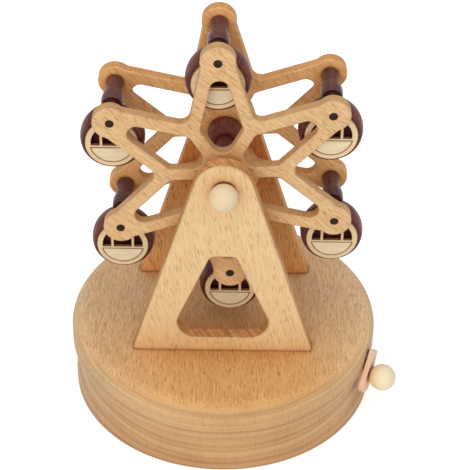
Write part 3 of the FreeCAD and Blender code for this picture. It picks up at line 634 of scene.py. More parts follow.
@dataclass(frozen=True)
class StainFinish(WoodFinish):
    """Dark red-brown stain on turned timber, with a satin top coat that shows the grain."""

    pale: Colour = (0.225, 0.054, 0.040)
    deep: Colour = (0.075, 0.014, 0.010)
    ray: Colour = (0.030, 0.006, 0.005)
    roughness: float = 0.40
    gloss: float = 0.24
    coat: float = 0.12
    coat_roughness: float = 0.25
    relief: float = 0.00005
    relief_strength: float = 0.7
    edge: Colour = (0.22, 0.08, 0.06)
    edge_share: float = 0.5
    edge_radius: float = 0.0003
    painted_shade_share: float = 0.0
    painted_shade_reach: float = 0.004
    # Painted contact shadow in the creases of the turned parts.
    contact_shade: Colour = (0.40, 0.34, 0.36)
    end: Colour = WHITE

    def surface(self, bench: NodeBench) -> dict[str, Any]:
        """Lays the figure, the tone of the end grain, the rubbed edges and the painted contact shadow.

        Args:
            bench: Bench of the material's tree.

        Returns:
            Input of the shader to its value or socket.
        """
        figure = self.figure(bench, {
            "Pith": (0.0, 12.0, -18.0), "Band Pitch": 1.9, "Band Strength": 0.55, "Fibre Strength": 0.45,
            "Fleck Cell": (3.4, 0.6, 5.0), "Fleck Share": 0.4, "Fleck Strength": 0.5, "Drift": 0.35})
        ends = facing_mask(bench, self.grain, 0.8, 0.98)
        return self.worn_and_shaded(bench, figure, bench.blend(ends, figure.outputs["Colour"], self.end, "MULTIPLY"))


@dataclass(frozen=True)
class PlywoodFinish(Finish):
    """Thin pale plywood cut and marked by a laser: creamy faces, and burnt walls and lines."""

    front: float = -9.9
    centre: Triple = ORIGIN
    panel_radius: float = 7.6
    panel_top: float = -1.75
    ring_tone: Colour = (0.88, 0.695, 0.42)
    panel_tone: Colour = (0.90, 0.79, 0.53)
    deep: Colour = (0.66, 0.46, 0.24)
    burn: Colour = (0.25, 0.098, 0.030)
    roughness: float = 0.58
    relief: float = 0.00004
    scorch_radius: float = 0.0004

    def surface(self, bench: NodeBench) -> dict[str, Any]:
        """Lays the plywood's figure, its panel and its burnt lines.

        Args:
            bench: Bench of the material's tree.

        Returns:
            Input of the shader to its value or socket.
        """
        turn = turn_to((1.0, 0.0, 0.12), (0.0, 1.0, 0.0))
        figure = TimberFigure().put(bench, {
            "Place": placed(bench, turn, self.centre), "Pale": ORIGIN, "Deep": WHITE,
            "Ray": (0.9, 0.9, 0.9), "Pith": (0.0, 90.0, -140.0), "Band Pitch": 2.6, "Band Strength": 0.25,
            "Fibre Strength": 0.45, "Fleck Cell": (2.4, 0.5, 3.0), "Fleck Share": 0.2, "Fleck Strength": 0.35,
            "Drift": 0.35})
        ground = bench.blend(self.panel_mask(bench), self.ring_tone, self.panel_tone)
        colour = bench.blend(bench.times(figure.outputs["Colour"], 0.6), ground, self.deep)
        burnt = self.burn_mask(bench)
        bump = bench.add("Bump", {"Height": figure.outputs["Height"], "Distance": self.relief,
                                  "Strength": 0.7})
        return {"Base Color": bench.blend(burnt, colour, self.burn),
                "Roughness": bench.sum("ADD", bench.times(burnt, 0.2), self.roughness),
                "Normal": bump.outputs[0], "Specular IOR Level": 0.3}

    def panel_mask(self, bench: NodeBench) -> Socket:
        """Finds the half-moon panel below the windows.

        Args:
            bench: Bench of the material's tree.

        Returns:
            The mask of the panel.
        """
        across, _, height = bench.add("SeparateXYZ", {0: placed(bench, centre=self.centre)}).outputs
        squares = bench.sum("ADD", bench.times(across, across), bench.times(height, height))
        reach = bench.sum("SQRT", squares)
        round_part = bench.ramp(reach, self.panel_radius - 0.15, self.panel_radius + 0.15, 1.0, 0.0)
        below = bench.ramp(height, self.panel_top - 0.1, self.panel_top + 0.1, 1.0, 0.0)
        return bench.times(round_part, below)

    def burn_mask(self, bench: NodeBench) -> Socket:
        """Finds the cut walls and the floors of the marked lines, with a breath of scorch beside them.

        Args:
            bench: Bench of the material's tree.

        Returns:
            The mask of the burn.
        """
        place = placed(bench)
        depth = bench.add("SeparateXYZ", {0: place}).outputs[1]
        behind = bench.ramp(depth, self.front + 0.05, self.front + 0.2)
        normal = bench.add("NewGeometry").outputs["Normal"]
        back = bench.ramp(bench.vector("DOT_PRODUCT", normal, (0.0, 1.0, 0.0)), 0.5, 0.9, 1.0, 0.0)
        scorch = bench.add("Bevel", {"Radius": self.scorch_radius}, samples=4).outputs[0]
        breath = bench.ramp(bench.vector("DOT_PRODUCT", scorch, normal), 0.85, 0.999, 0.75, 0.0)
        patch = bench.ramp(bench.noise(place, 3.0, scale=1.2), 0.3, 0.7, 0.72, 1.0)
        return bench.sum("MAXIMUM", bench.times(bench.times(behind, back), patch), breath)


@dataclass(frozen=True)
class MetalFinish(Finish):
    """Turned, ground or cast metal with fine marks, specks and a handled tone."""

    tone: Colour = (0.62, 0.44, 0.18)
    tarnish: Colour = (0.36, 0.22, 0.08)
    axis: Triple = (0.0, 1.0, 0.0)
    centre: Triple = ORIGIN
    pitch: float = 0.25
    roughness: float = 0.3
    relief: float = 0.00002
    edge_radius: float = 0.0002

    def surface(self, bench: NodeBench) -> dict[str, Any]:
        """Lays the tool marks, the tarnish with painted shade in the hollows, and the bright edges.

        Args:
            bench: Bench of the material's tree.

        Returns:
            Input of the shader to its value or socket.
        """
        side = (0.0, 0.0, 1.0) if abs(self.axis[2]) < 0.9 else (1.0, 0.0, 0.0)
        place = placed(bench, turn_to(self.axis, side), centre=self.centre)
        marks = TurnedMarks().put(bench, {"Place": place, "Pitch": self.pitch}).outputs
        worn_and_shaded = EdgeWearAndShade().put(bench, {"Radius": self.edge_radius}).outputs
        dull = bench.times(bench.ramp(marks["Cloud"], 0.35, 0.7), 0.5)
        # Tarnish clouds, darkened further by painted shade in the hollows.
        tarnish_and_shade = bench.sum("MAXIMUM", dull, bench.times(worn_and_shaded["Shade"], 0.7))
        colour = bench.blend(tarnish_and_shade, self.tone, self.tarnish)
        bright = tuple(min(1.0, part * 1.25) for part in self.tone)
        colour = bench.blend(bench.times(worn_and_shaded["Edge"], 0.6), colour, bright)
        colour = bench.blend(bench.times(marks["Specks"], 0.3), colour, self.tarnish)
        rough = bench.sum("ADD", bench.times(marks["Rings"], 0.2), self.roughness - 0.1)
        bump = bench.add("Bump", {"Height": marks["Rings"], "Distance": self.relief, "Strength": 0.8})
        return {"Base Color": colour, "Roughness": bench.sum("ADD", rough, bench.times(tarnish_and_shade, 0.15)),
                "Normal": bump.outputs[0], "Metallic": 1.0}


@dataclass(frozen=True)
class BeltFinish(Finish):
    """Clear elastic belt that has yellowed a little, with a faint ribbing and dust."""

    name: str = "clear elastic"
    tone: Colour = (0.70, 0.64, 0.48)
    dust: Colour = (0.50, 0.44, 0.34)
    roughness: float = 0.42
    relief: float = 0.00005

    def surface(self, bench: NodeBench) -> dict[str, Any]:
        """Lays the ribbing and the dust.

        Args:
            bench: Bench of the material's tree.

        Returns:
            Input of the shader to its value or socket.
        """
        place = placed(bench)
        ribs = bench.noise(bench.stretched(place, (0.6, 0.6, 4.0)), 3.0)
        cloud = bench.ramp(bench.noise(place, 3.0, scale=0.5), 0.4, 0.7)
        bump = bench.add("Bump", {"Height": ribs, "Distance": self.relief, "Strength": 0.6})
        return {"Base Color": bench.blend(cloud, self.tone, self.dust),
                "Roughness": bench.sum("ADD", bench.times(cloud, 0.2), self.roughness),
                "Normal": bump.outputs[0], "Subsurface Weight": 0.15,
                "Subsurface Radius": (0.002, 0.0016, 0.001)}


PALE_BALL = TimberFinish(
    "pale ball", radial=(0.0, 1.0, 0.0), band_pitch=2.4, band=0.22, fibre=0.25, fleck=0.18,
    pith=(0.0, 9.0, -16.0), drift=0.2, edge_share=0.1, roughness=0.55)
DULL_STAIN = StainFinish("dull stain", roughness=0.6, gloss=0.12, coat=0.0)
BRIGHT_STEEL = MetalFinish("bright steel", tone=(0.56, 0.56, 0.57), tarnish=(0.30, 0.29, 0.28))


# ---- Pieces ----


def dress(finish: Finish, *nodes: str) -> Material:
    """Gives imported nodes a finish.

    Args:
        finish: Their finish.
        nodes: Names of the nodes.

    Returns:
        The material that they share.
    """
    material = finish.material()
    for node in nodes:
        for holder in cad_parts[node].material_slots:
            holder.material = material
    return material


def linked(name: str, data: Any) -> bpy.types.Object:
    """Makes an object and puts it in the scene.

    Args:
        name: Name of the object.
        data: Its mesh, light or camera.

    Returns:
        The new object.
    """
    made = bpy.data.objects.new(name, data)
    bpy.context.scene.collection.objects.link(made)
    return made


def finished_piece(name: str, mesh: Mesh, material: Material, body: str, stands_for: Iterable[str]) -> None:
    """Closes a mesh, makes it an object and seats it on its body.

    Args:
        name: Name of the piece.
        mesh: The mesh in metres, in place.
        material: Its material.
        body: Body that it moves with.
        stands_for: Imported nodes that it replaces.
    """
    bmesh.ops.remove_doubles(mesh, verts=mesh.verts, dist=MERGE_REACH)
    bmesh.ops.recalc_face_normals(mesh, faces=mesh.faces)
    data = bpy.data.meshes.new(name)
    mesh.to_mesh(data)
    mesh.free()
    for polygon in data.polygons:
        polygon.use_smooth = True
    data.set_sharp_from_angle(angle=SHARP_TURN)
    piece = linked(name, data)
    data.materials.append(material)
    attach(piece, body)
    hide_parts(*stands_for)


def turned_solid(mesh: Mesh, outline: list[tuple[float, float]], steps: int) -> list[Any]:
    """Turns an outline about X, the way a lathe cuts it.

    Args:
        mesh: The mesh that gets the solid.
        outline: (place along the axis, radius) points in millimetres, from one end to the other.
        steps: Steps in the full turn.

    Returns:
        The new vertices.
    """
    before = set(mesh.verts)
    verts = [mesh.verts.new((along * MM, 0.0, radius * MM)) for along, radius in outline]
    edges = [mesh.edges.new(pair) for pair in zip(verts, verts[1:])]
    bmesh.ops.spin(mesh, geom=verts + edges, axis=(1.0, 0.0, 0.0), cent=ORIGIN, angle=math.tau, steps=steps,
                   use_merge=True)
    fresh = [vert for vert in mesh.verts if vert not in before]
    bmesh.ops.remove_doubles(mesh, verts=fresh, dist=MERGE_REACH)
    return [vert for vert in mesh.verts if vert not in before]


def new_faces(mesh: Mesh, before: set[Any]) -> list[Any]:
    """Finds the faces that touch none of the earlier vertices."""
    return [face for face in mesh.faces if not set(face.verts) & before]


@dataclass
class WoodScrew:
    """Countersunk screw with a cross recess in its head, which is at the origin. Its shank is along +Z."""

    head_radius: float = 1.9
    shank_radius: float = 0.9
    point_radius: float = 0.12
    head_height: float = 1.2
    length: float = 11.0
    point_length: float = 1.0
    recess_width: float = 0.5
    recess_reach: float = 1.05
    recess_depth: float = 0.75
    recess_taper: float = 0.72

    def add_to(self, mesh: Mesh, place: Matrix) -> None:
        """Adds the screw to a mesh.

        Args:
            mesh: The mesh that gets the screw.
            place: Where the screw goes, in metres.
        """
        before = set(mesh.verts)
        bmesh.ops.create_circle(mesh, cap_ends=True, radius=self.head_radius * MM, segments=32)
        self.cut_recess(mesh, before)
        self.draw_shank(mesh)
        fresh = [vert for vert in mesh.verts if vert not in before]
        bmesh.ops.transform(mesh, matrix=place, verts=fresh)

    def cut_recess(self, mesh: Mesh, before: set[Any]) -> None:
        """Sinks the cross into the head.

        Args:
            mesh: The mesh with the head's flat disc.
            before: Vertices of the screws that are already there.
        """
        half = self.recess_width / 2 * MM
        reach = self.recess_reach * MM
        for across in (Vector((1.0, 0.0, 0.0)), Vector((0.0, 1.0, 0.0))):
            for offset in (-reach, -half, half, reach):
                faces = new_faces(mesh, before)
                edges = {edge for face in faces for edge in face.edges}
                verts = {vert for face in faces for vert in face.verts}
                bmesh.ops.bisect_plane(mesh, geom=[*verts, *edges, *faces], plane_co=across * offset,
                                       plane_no=across, dist=CUT_REACH)
        cross = []
        for face in new_faces(mesh, before):
            centre = face.calc_center_median()
            narrow, wide = sorted((abs(centre.x), abs(centre.y)))
            if narrow < half and wide < reach:
                cross.append(face)
        floor = bmesh.ops.extrude_face_region(mesh, geom=cross)
        bmesh.ops.delete(mesh, geom=cross, context="FACES")
        sunk = [item for item in floor["geom"] if isinstance(item, bmesh.types.BMVert)]
        bmesh.ops.translate(mesh, verts=sunk, vec=(0.0, 0.0, self.recess_depth * MM))
        bmesh.ops.scale(mesh, verts=sunk, vec=(self.recess_taper, self.recess_taper, 1.0))

    def draw_shank(self, mesh: Mesh) -> None:
        """Draws the head's side and the shank out of the disc's rim.

        Args:
            mesh: The mesh with the head's flat disc.
        """
        rim = [edge for edge in mesh.edges if edge.is_boundary]
        radius, height = self.head_radius, 0.0
        for next_radius, next_height in ((self.shank_radius, self.head_height),
                                         (self.shank_radius, self.length - self.point_length),
                                         (self.point_radius, self.length)):
            grown = bmesh.ops.extrude_edge_only(mesh, edges=rim)["geom"]
            verts = [item for item in grown if isinstance(item, bmesh.types.BMVert)]
            rim = [item for item in grown if isinstance(item, bmesh.types.BMEdge) and item.is_boundary]
            bmesh.ops.scale(mesh, verts=verts, vec=(next_radius / radius, next_radius / radius, 1.0))
            bmesh.ops.translate(mesh, verts=verts, vec=(0.0, 0.0, (next_height - height) * MM))
            radius, height = next_radius, next_height
        bmesh.ops.holes_fill(mesh, edges=rim, sides=0)


# ---- Sub-assemblies ----


@dataclass
class TurnedBase:
    """Round turned base with its bottom board and the screws that hold the board."""

    radius: float = 58.0
    height: float = 31.1
    screw_ring: float = 50.5
    screw_count: int = 4
    screw_start: float = 45.0
    first_turn: float = 0.6
    turn_step: float = 1.3
    # The base's wide painted shade stands for the shade between the supports and under the wheel, and its
    # grey side tone is partly painted shade on the turned side.
    timber: TimberFinish = TimberFinish(
        "base beech", grain=(0.0, 1.0, 0.03), radial=(-0.04, 0.0, 1.0), pith=(0.0, -30.0, 620.0),
        band_pitch=2.4, band=0.6, slab_band=0.0, fleck_cell=(4.6, 0.60, 14.0), fleck_size=0.34,
        fleck_share=0.95, fleck=0.68, edge_fleck=0.35, ray=(0.40, 0.165, 0.045), fibre=0.7, edge_fibre=0.45,
        sway=2.0, shift=(3.0, 0.0, -2.0), pale=(0.97, 0.70, 0.41), deep=(0.61, 0.34, 0.147),
        face=(0.0, 0.0, 1.0), side_tone_and_shade=(0.86, 0.865, 0.865), side_tone_and_shade_share=1.0, warm=(0.88, 0.70, 0.45),
        warm_centre=(3.0, -44.0, 33.0), warm_reach=66.0, edge_share=0.2, painted_shade_reach=0.024,
        painted_shade_share=0.85, painted_shade=(0.70, 0.52, 0.35))
    board: TimberFinish = TimberFinish(
        "bottom board", grain=(1.0, 0.0, 0.0), radial=(0.0, 0.1, 1.0), pale=(0.74, 0.54, 0.34),
        deep=(0.55, 0.35, 0.18), fleck=0.3, roughness=0.62)
    steel: MetalFinish = MetalFinish("plated screws", tone=(0.55, 0.53, 0.48), tarnish=(0.25, 0.22, 0.17),
                                     axis=(0.0, 0.0, 1.0), roughness=0.34)

    def make(self) -> None:
        """Dresses the base and its board and makes the board's screws."""
        dress(self.timber, "base_body")
        dress(self.board, "base_cover")
        self.make_cover_screws(dress(self.steel, "support_screws", "movement_screws", "comb_screws"))
        log.info("turned base: height %.1f, radius %.1f", self.height, self.radius)

    def make_cover_screws(self, steel: Material) -> None:
        """Makes the cross-recessed screws of the bottom board.

        Args:
            steel: Their material.
        """
        mesh = bmesh.new()
        for k in range(self.screw_count):
            angle = math.radians(self.screw_start) + k * math.tau / self.screw_count
            spot = Vector((self.screw_ring * math.cos(angle), self.screw_ring * math.sin(angle), 0.0)) * MM
            turn = Matrix.Rotation(self.first_turn + self.turn_step * k, 4, "Z")
            WoodScrew().add_to(mesh, Matrix.Translation(spot) @ turn)
        finished_piece("cover_screw_set", mesh, steel, "stand", ["cover_screws"])


@dataclass
class SupportPair:
    """Two A-shaped boards that carry the axle in brass bushes."""

    # The front board's strong side tone is partly painted shade on its sills and edges, over the side grain's
    # own tone.
    front_timber: TimberFinish = TimberFinish(
        "front support beech", grain=(-0.20, 0.0, 1.0), radial=(0.3, 1.0, 0.0), face=(0.0, 1.0, 0.0),
        pith=(0.0, 60.0, -55.0), band_pitch=1.5, band=0.9, slab_band=0.1, fleck_cell=(5.0, 0.5, 8.0),
        fleck_share=0.6, fleck=0.66, fibre=0.55, pale=(0.91, 0.66, 0.36), deep=(0.66, 0.40, 0.165),
        ray=(0.42, 0.18, 0.055), shift=(11.0, 4.0, 0.0), side_tone_and_shade=(0.76, 0.53, 0.34), side_tone_and_shade_share=0.9,
        streak_way=(0.89, 0.46, 0.0))
    # The rear board's oranger, deeper tone is partly its own wood and partly painted shade, as it stands
    # behind the front parts.
    rear_timber: TimberFinish = TimberFinish(
        "rear support beech", grain=(-0.08, 0.0, 1.0), radial=(-0.4, 1.0, 0.0), face=(0.0, 1.0, 0.0),
        pith=(0.0, -60.0, -55.0), band_pitch=1.8, band=0.7, slab_band=0.2, fleck_cell=(4.4, 0.45, 8.0),
        fleck_share=0.8, fibre=0.9, pale=(1.0, 0.57, 0.225), deep=(0.70, 0.315, 0.098),
        ray=(0.36, 0.11, 0.025), fleck=0.85, side_tone_and_shade=(0.95, 0.9, 0.85), shift=(-23.0, 31.0, 9.0))
    brass: MetalFinish = MetalFinish("turned brass", centre=(0.0, 0.0, 102.9))

    def make(self) -> None:
        """Dresses both supports and their bushes."""
        dress(self.front_timber, "front_support")
        dress(self.rear_timber, "rear_support")
        dress(self.brass, "front_axle_bush", "rear_axle_bush")
        log.info("supports: two boards and two bushes")


@dataclass(frozen=True)
class PinCircle:
    """Circle of the pins that the cabins hang on, at the rest turn of the wheel."""

    axle_height: float = 102.9
    radius: float = 44.0
    rest_turn: float = 3.13
    count: int = 6

    def place(self, number: int) -> tuple[float, float]:
        """Finds a pin.

        Args:
            number: Number of the pin, from 1 at the top, anticlockwise as seen from the front.

        Returns:
            Its X and Z in millimetres.
        """
        angle = math.radians(90.0 + self.rest_turn + 360.0 / self.count * (number - 1))
        return self.radius * math.cos(angle), self.axle_height + self.radius * math.sin(angle)


@dataclass
class LatticeWheel:
    """Two six-armed lattices on one axle, with the hub between them and a ball cap on each end."""

    pins: PinCircle = PinCircle()
    pin_radius: float = 1.5
    pin_steps: int = 28
    pin_dome: tuple[tuple[float, float], ...] = ((0.06, 0.0), (0.02, 0.55), (0.08, 0.86), (0.35, 1.0))
    pin_chamfer: float = 0.3
    front_pins: tuple[float, float] = (-15.3, -0.9)
    rear_pins: tuple[float, float] = (9.7, 16.9)
    front_timber: TimberFinish = TimberFinish(
        "front lattice beech", grain=(1.0, 0.0, -0.85), radial=(0.3, 1.0, 0.35), face=(0.0, 1.0, 0.0),
        pith=(0.0, 70.0, -50.0), band_pitch=3.2, band=0.22, slab_band=0.5, fleck_cell=(4.2, 0.44, 8.0),
        fleck_share=0.85, fibre=0.8, fleck=0.8, shift=(5.0, 40.0, 0.0), pale=(0.89, 0.615, 0.33),
        deep=(0.63, 0.36, 0.148))
    rear_timber: TimberFinish = TimberFinish(
        "rear lattice beech", grain=(1.0, 0.0, -1.1), radial=(-0.25, 1.0, 0.2), face=(0.0, 1.0, 0.0),
        pith=(0.0, -70.0, -50.0), band_pitch=3.4, band=0.3, slab_band=0.5, fleck_cell=(4.0, 0.46, 8.0),
        fleck_share=0.75, fibre=0.8, fleck=0.75, shift=(-31.0, 12.0, 0.0), pale=(0.99, 0.605, 0.265),
        deep=(0.70, 0.335, 0.11), ray=(0.40, 0.14, 0.035))
    dowel: TimberFinish = TimberFinish("dowel beech", shift=(0.0, 8.0, 90.0), band_pitch=1.8,
                                       fleck_cell=(3.0, 0.6, 5.0), fleck=0.4)
    ball: TimberFinish = replace(PALE_BALL, name="axle ball beech", grain=(0.15, 0.1, 1.0),
                                 pale=(0.86, 0.70, 0.45), deep=(0.74, 0.55, 0.31), ray=(0.60, 0.42, 0.22))
    stain: StainFinish = StainFinish("stained hub", shift=(0.0, 3.0, -100.0), pale=(0.26, 0.060, 0.040),
                                     deep=(0.09, 0.016, 0.010), end=(0.9, 0.55, 0.45))
    pin_stain: StainFinish = replace(
        DULL_STAIN, name="stained dowel ends", pale=(0.060, 0.030, 0.019), deep=(0.028, 0.012, 0.008),
        ray=(0.02, 0.008, 0.005), edge=(0.12, 0.065, 0.04))

    def make(self) -> None:
        """Dresses the wheel and makes its dowel pins."""
        dress(self.front_timber, "front_wheel_frame")
        dress(self.rear_timber, "rear_wheel_frame")
        dress(self.dowel, "wheel_axle", "front_spacer", "rear_spacer", "axle_pulley", "drive_pulley")
        dress(self.ball, "front_axle_ball", "rear_axle_ball")
        dress(self.stain, "wheel_hub")
        stain = self.pin_stain.material()
        self.make_pins("front_dowel_pins", self.front_pins, "front_cabin_pins", stain)
        self.make_pins("rear_dowel_pins", self.rear_pins, "rear_cabin_pins", stain)
        log.info("lattice wheel: two frames, hub, axle, balls and twelve pins")

    def make_pins(self, name: str, ends: tuple[float, float], node: str, stain: Material) -> None:
        """Makes six dowel pins with rounded ends.

        Args:
            name: Name of the piece.
            ends: Front and rear end of the pins.
            node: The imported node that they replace.
            stain: Their material.
        """
        mesh = bmesh.new()
        front, rear = ends
        radius, chamfer = self.pin_radius, self.pin_chamfer
        outline = [(front + along, radius * share) for along, share in self.pin_dome]
        outline += [(rear - chamfer, radius), (rear, radius - chamfer), (rear, 0.0)]
        for number in range(1, self.pins.count + 1):
            x, z = self.pins.place(number)
            verts = turned_solid(mesh, outline, self.pin_steps)
            place = Matrix.Translation(Vector((x, 0.0, z)) * MM) @ Matrix.Rotation(math.pi / 2, 4, "Z")
            bmesh.ops.transform(mesh, matrix=place, verts=verts)
        finished_piece(name, mesh, stain, "wheel", [node])


@dataclass
class HangingCabin:
    """One ball cabin with its spindle and its laser-cut front."""

    number: int = 1
    pins: PinCircle = PinCircle()
    hang: float = 11.5
    ball_step: float = 17.0
    ball_rise: float = 5.0
    spindle_step: float = 9.0
    lean: float = 0.3
    lean_step: float = 2.1

    def make(self) -> None:
        """Dresses the ball, the spindle and the front, each with its own stretch of the pattern."""
        x, pin_height = self.pins.place(self.number)
        z = pin_height - self.hang
        name = f"cabin_{self.number}"
        grain = (self.lean * math.sin(self.lean_step * self.number), 1.0, 0.25)
        shift = (self.ball_step * self.number, 4.0, -z + self.ball_rise * self.number)
        dress(StainFinish(f"stained ball {self.number}", grain=grain, radial=(0.4, 0.0, 1.0), shift=shift),
              f"{name}_body")
        # On the spindles the greyer edge tone is a painted highlight along the bead's rim over the rubbed
        # edge, and the deep end tone is the stained end grain darkened further as painted shade on the bead's
        # front face.
        dress(StainFinish(f"stained spindle {self.number}", shift=(self.spindle_step * self.number, -x, -z),
                          edge=(0.26, 0.13, 0.12), end=(0.42, 0.30, 0.24), gloss=0.42, coat=0.3),
              f"{name}_spindle")
        dress(PlywoodFinish(f"plywood front {self.number}", centre=(x, 0.0, z)), f"{name}_front_plate")
        log.info("cabin %d: ball at %.1f, %.1f", self.number, x, z)


@dataclass
class CrankHandle:
    """Crank arm with its shaft, bush and collar."""

    turn: float = 27.0
    shaft_offset: float = 7.0
    shaft_height: float = 23.3
    maple: TimberFinish = TimberFinish(
        "crank maple", grain=(0.254, 0.498, 0.829), radial=(0.891, -0.454, 0.0), face=(0.891, -0.454, 0.0),
        pale=(0.96, 0.76, 0.57), deep=(0.80, 0.54, 0.36), ray=(0.56, 0.30, 0.17), side_tone_and_shade=(0.98, 0.90, 0.84),
        band_pitch=1.6, band=0.3, fibre=0.3, fleck_cell=(2.4, 0.5, 4.0), fleck=0.35, pith=(0.0, 20.0, -30.0))
    ball: TimberFinish = replace(PALE_BALL, name="knob maple", grain=(0.10, 0.05, 1.0),
                                 pale=(0.97, 0.83, 0.57), deep=(0.84, 0.67, 0.40), ray=(0.68, 0.50, 0.27))
    dark: StainFinish = replace(
        DULL_STAIN, name="dark bush", pale=(0.14, 0.045, 0.024), deep=(0.06, 0.018, 0.010),
        ray=(0.04, 0.012, 0.007), edge=(0.16, 0.06, 0.035))

    def make(self) -> None:
        """Dresses the arm, its knob and what it turns in."""
        angle = math.radians(self.turn)
        axis = (math.cos(angle), -math.sin(angle), 0.0)
        centre = (self.shaft_offset * math.sin(angle), self.shaft_offset * math.cos(angle), self.shaft_height)
        dress(self.maple, "crank_arm")
        dress(self.dark, "crank_bush")
        dress(self.ball, "crank_knob", "knob_pin")
        dress(MetalFinish("crank brass", axis=axis, centre=centre), "crank_collar", "crank_worm")
        dress(replace(BRIGHT_STEEL, name="ground shaft steel", axis=axis, centre=centre, roughness=0.26),
              "crank_shaft")
        log.info("crank: arm, shaft, bush, collar and worm")


@dataclass
class TuneMovement:
    """Movement under the base: drum, comb and the plate that carries them."""

    turn: float = 27.0
    across: float = -13.44
    height: float = 12.9
    cast: MetalFinish = MetalFinish("cast bedplate", tone=(0.58, 0.58, 0.56), tarnish=(0.36, 0.35, 0.33),
                                    axis=(0.0, 0.0, 1.0), pitch=1.5, roughness=0.5, relief=0.00006)

    def make(self) -> None:
        """Dresses the movement."""
        angle = math.radians(self.turn)
        axis = (math.sin(angle), math.cos(angle), 0.0)
        centre = (self.across * math.cos(angle), -self.across * math.sin(angle), self.height)
        dress(MetalFinish("drum brass", axis=axis, centre=centre, pitch=0.4), "tune_cylinder", "worm_wheel")
        comb_steel = replace(BRIGHT_STEEL, name="comb steel", axis=axis, centre=centre)
        dress(comb_steel, "cylinder_arbor", "tone_comb")
        dress(self.cast, "movement_bedplate")
        log.info("movement: drum, worm wheel, comb and bedplate")


@dataclass
class BeltDrive:
    """Elastic belt from the movement up to the axle."""

    finish: BeltFinish = BeltFinish()

    def make(self) -> None:
        """Dresses the belt."""
        dress(self.finish, "drive_belt")
        log.info("belt drive: one twisted belt")


# ---- Studio ----


class LampKind(Enum):
    """Job of a lamp in the studio."""

    KEY = "key"
    FILL = "fill"
    TOP = "top"


@dataclass(frozen=True)
class Lamp:
    """Soft square lamp aimed at the toy, with its angles in degrees and its power in watts."""

    kind: LampKind
    azimuth: float
    elevation: float
    distance: float
    size: float
    power: float

    def make(self, target: Vector) -> None:
        """Makes the lamp.

        Args:
            target: Point that it faces, in metres.
        """
        light = bpy.data.lights.new(f"{self.kind.value}_lamp", "AREA")
        light.size = self.size
        light.energy = self.power
        swing, rise = math.radians(self.azimuth), math.radians(self.elevation)
        away = Vector((math.sin(swing) * math.cos(rise), -math.cos(swing) * math.cos(rise), math.sin(rise)))
        lamp = linked(light.name, light)
        lamp.location = target + away * self.distance
        lamp.rotation_euler = away.to_track_quat("Z", "Y").to_euler()


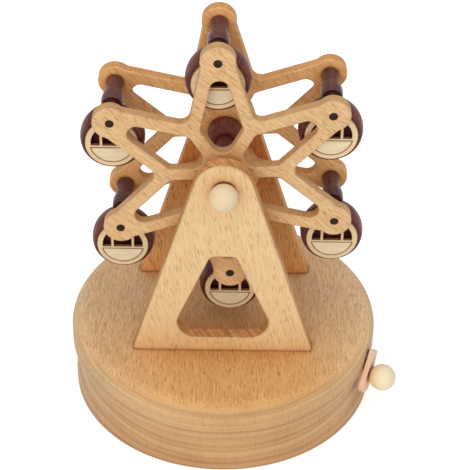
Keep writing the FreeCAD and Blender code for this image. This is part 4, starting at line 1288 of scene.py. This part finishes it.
@dataclass
class Studio:
    """Pale floor, soft light and the camera."""

    lamps: tuple[Lamp, ...] = (
        Lamp(LampKind.KEY, -20.0, 24.0, 1.1, 0.8, 3.8),
        Lamp(LampKind.FILL, 42.0, 30.0, 1.2, 0.9, 1.4),
        Lamp(LampKind.TOP, 0.0, 80.0, 1.2, 1.0, 3.7))
    lamp_target: Triple = (0.0, 0.0, 70.0)
    sky_strength: float = 0.5
    floor_tone: Colour = (0.9, 0.9, 0.9)
    floor_glow: float = 0.5
    floor_size: float = 6000.0
    floor_drop: float = 0.02
    camera_place: Triple = (3.886, -450.581, 402.321)
    camera_azimuth: float = -0.021
    camera_elevation: float = 36.824
    camera_roll: float = 0.802
    lens: float = 116.25

    def make(self) -> None:
        """Makes the floor, the world, the lamps and the camera."""
        self.make_floor()
        self.make_world()
        for lamp in self.lamps:
            lamp.make(Vector(self.lamp_target) * MM)
        self.make_camera()
        bpy.context.scene.view_settings.view_transform = "Standard"
        log.info("studio: floor, world, %d lamps and camera", len(self.lamps))

    def make_floor(self) -> None:
        """Makes the pale floor, which keeps the toy's soft shadow."""
        mesh = bmesh.new()
        bmesh.ops.create_grid(mesh, x_segments=1, y_segments=1, size=self.floor_size / 2 * MM)
        bmesh.ops.translate(mesh, verts=mesh.verts, vec=(0.0, 0.0, -self.floor_drop * MM))
        data = bpy.data.meshes.new("floor")
        mesh.to_mesh(data)
        mesh.free()
        floor = linked("floor", data)
        material = bpy.data.materials.new("white floor")
        bench = cleared(material)
        matt = bench.add("BsdfDiffuse", {"Color": self.floor_tone}).outputs[0]
        glow = bench.add("Emission", {"Color": WHITE, "Strength": self.floor_glow}).outputs[0]
        both = bench.add("AddShader", {0: matt, 1: glow}).outputs[0]
        rays = bench.add("LightPath").outputs
        seen = bench.sum("MAXIMUM", rays["Is Camera Ray"], rays["Is Glossy Ray"])
        chosen = bench.add("MixShader", {0: seen, 1: matt, 2: both})
        bench.add("OutputMaterial", {"Surface": chosen.outputs[0]})
        data.materials.append(material)

    def make_world(self) -> None:
        """Makes the soft surrounding light, which shows as plain white behind the toy."""
        world = bpy.data.worlds.new("studio")
        bpy.context.scene.world = world
        bench = cleared(world)
        soft = bench.add("Background", {"Color": WHITE, "Strength": self.sky_strength}).outputs[0]
        plain = bench.add("Background", {"Color": WHITE, "Strength": 1.0}).outputs[0]
        rays = bench.add("LightPath").outputs
        seen = bench.sum("MAXIMUM", rays["Is Camera Ray"], rays["Is Transmission Ray"])
        chosen = bench.add("MixShader", {0: seen, 1: soft, 2: plain})
        bench.add("OutputWorld", {"Surface": chosen.outputs[0]})

    def make_camera(self) -> None:
        """Makes the camera at the viewing angle of the toy's portrait."""
        data = bpy.data.cameras.new("portrait_camera")
        data.sensor_fit = "HORIZONTAL"
        data.sensor_width = 36.0
        data.lens = self.lens
        data.clip_start = 0.01
        data.clip_end = 50.0
        camera = linked("portrait_camera", data)
        turn = (Matrix.Rotation(math.radians(self.camera_azimuth), 4, "Z")
                @ Matrix.Rotation(math.radians(90.0 - self.camera_elevation), 4, "X")
                @ Matrix.Rotation(math.radians(self.camera_roll), 4, "Z"))
        camera.matrix_world = Matrix.Translation(Vector(self.camera_place) * MM) @ turn
        bpy.context.scene.camera = camera


@dataclass
class FerrisWheelToy:
    """The whole toy."""

    base: TurnedBase = field(default_factory=TurnedBase)
    supports: SupportPair = field(default_factory=SupportPair)
    wheel: LatticeWheel = field(default_factory=LatticeWheel)
    cabins: list[HangingCabin] = field(default_factory=lambda: [HangingCabin(k) for k in range(1, 7)])
    crank: CrankHandle = field(default_factory=CrankHandle)
    movement: TuneMovement = field(default_factory=TuneMovement)
    belt: BeltDrive = field(default_factory=BeltDrive)

    def make(self) -> None:
        """Makes every sub-assembly in order."""
        parts = [self.base, self.supports, self.wheel, *self.cabins, self.crank, self.movement, self.belt]
        for part in parts:
            part.make()


def main() -> None:
    """Builds the studio and the toy."""
    logging.basicConfig(level=logging.INFO, format="%(message)s")
    Studio().make()
    FerrisWheelToy().make()


if __name__ == "__main__":
    main()
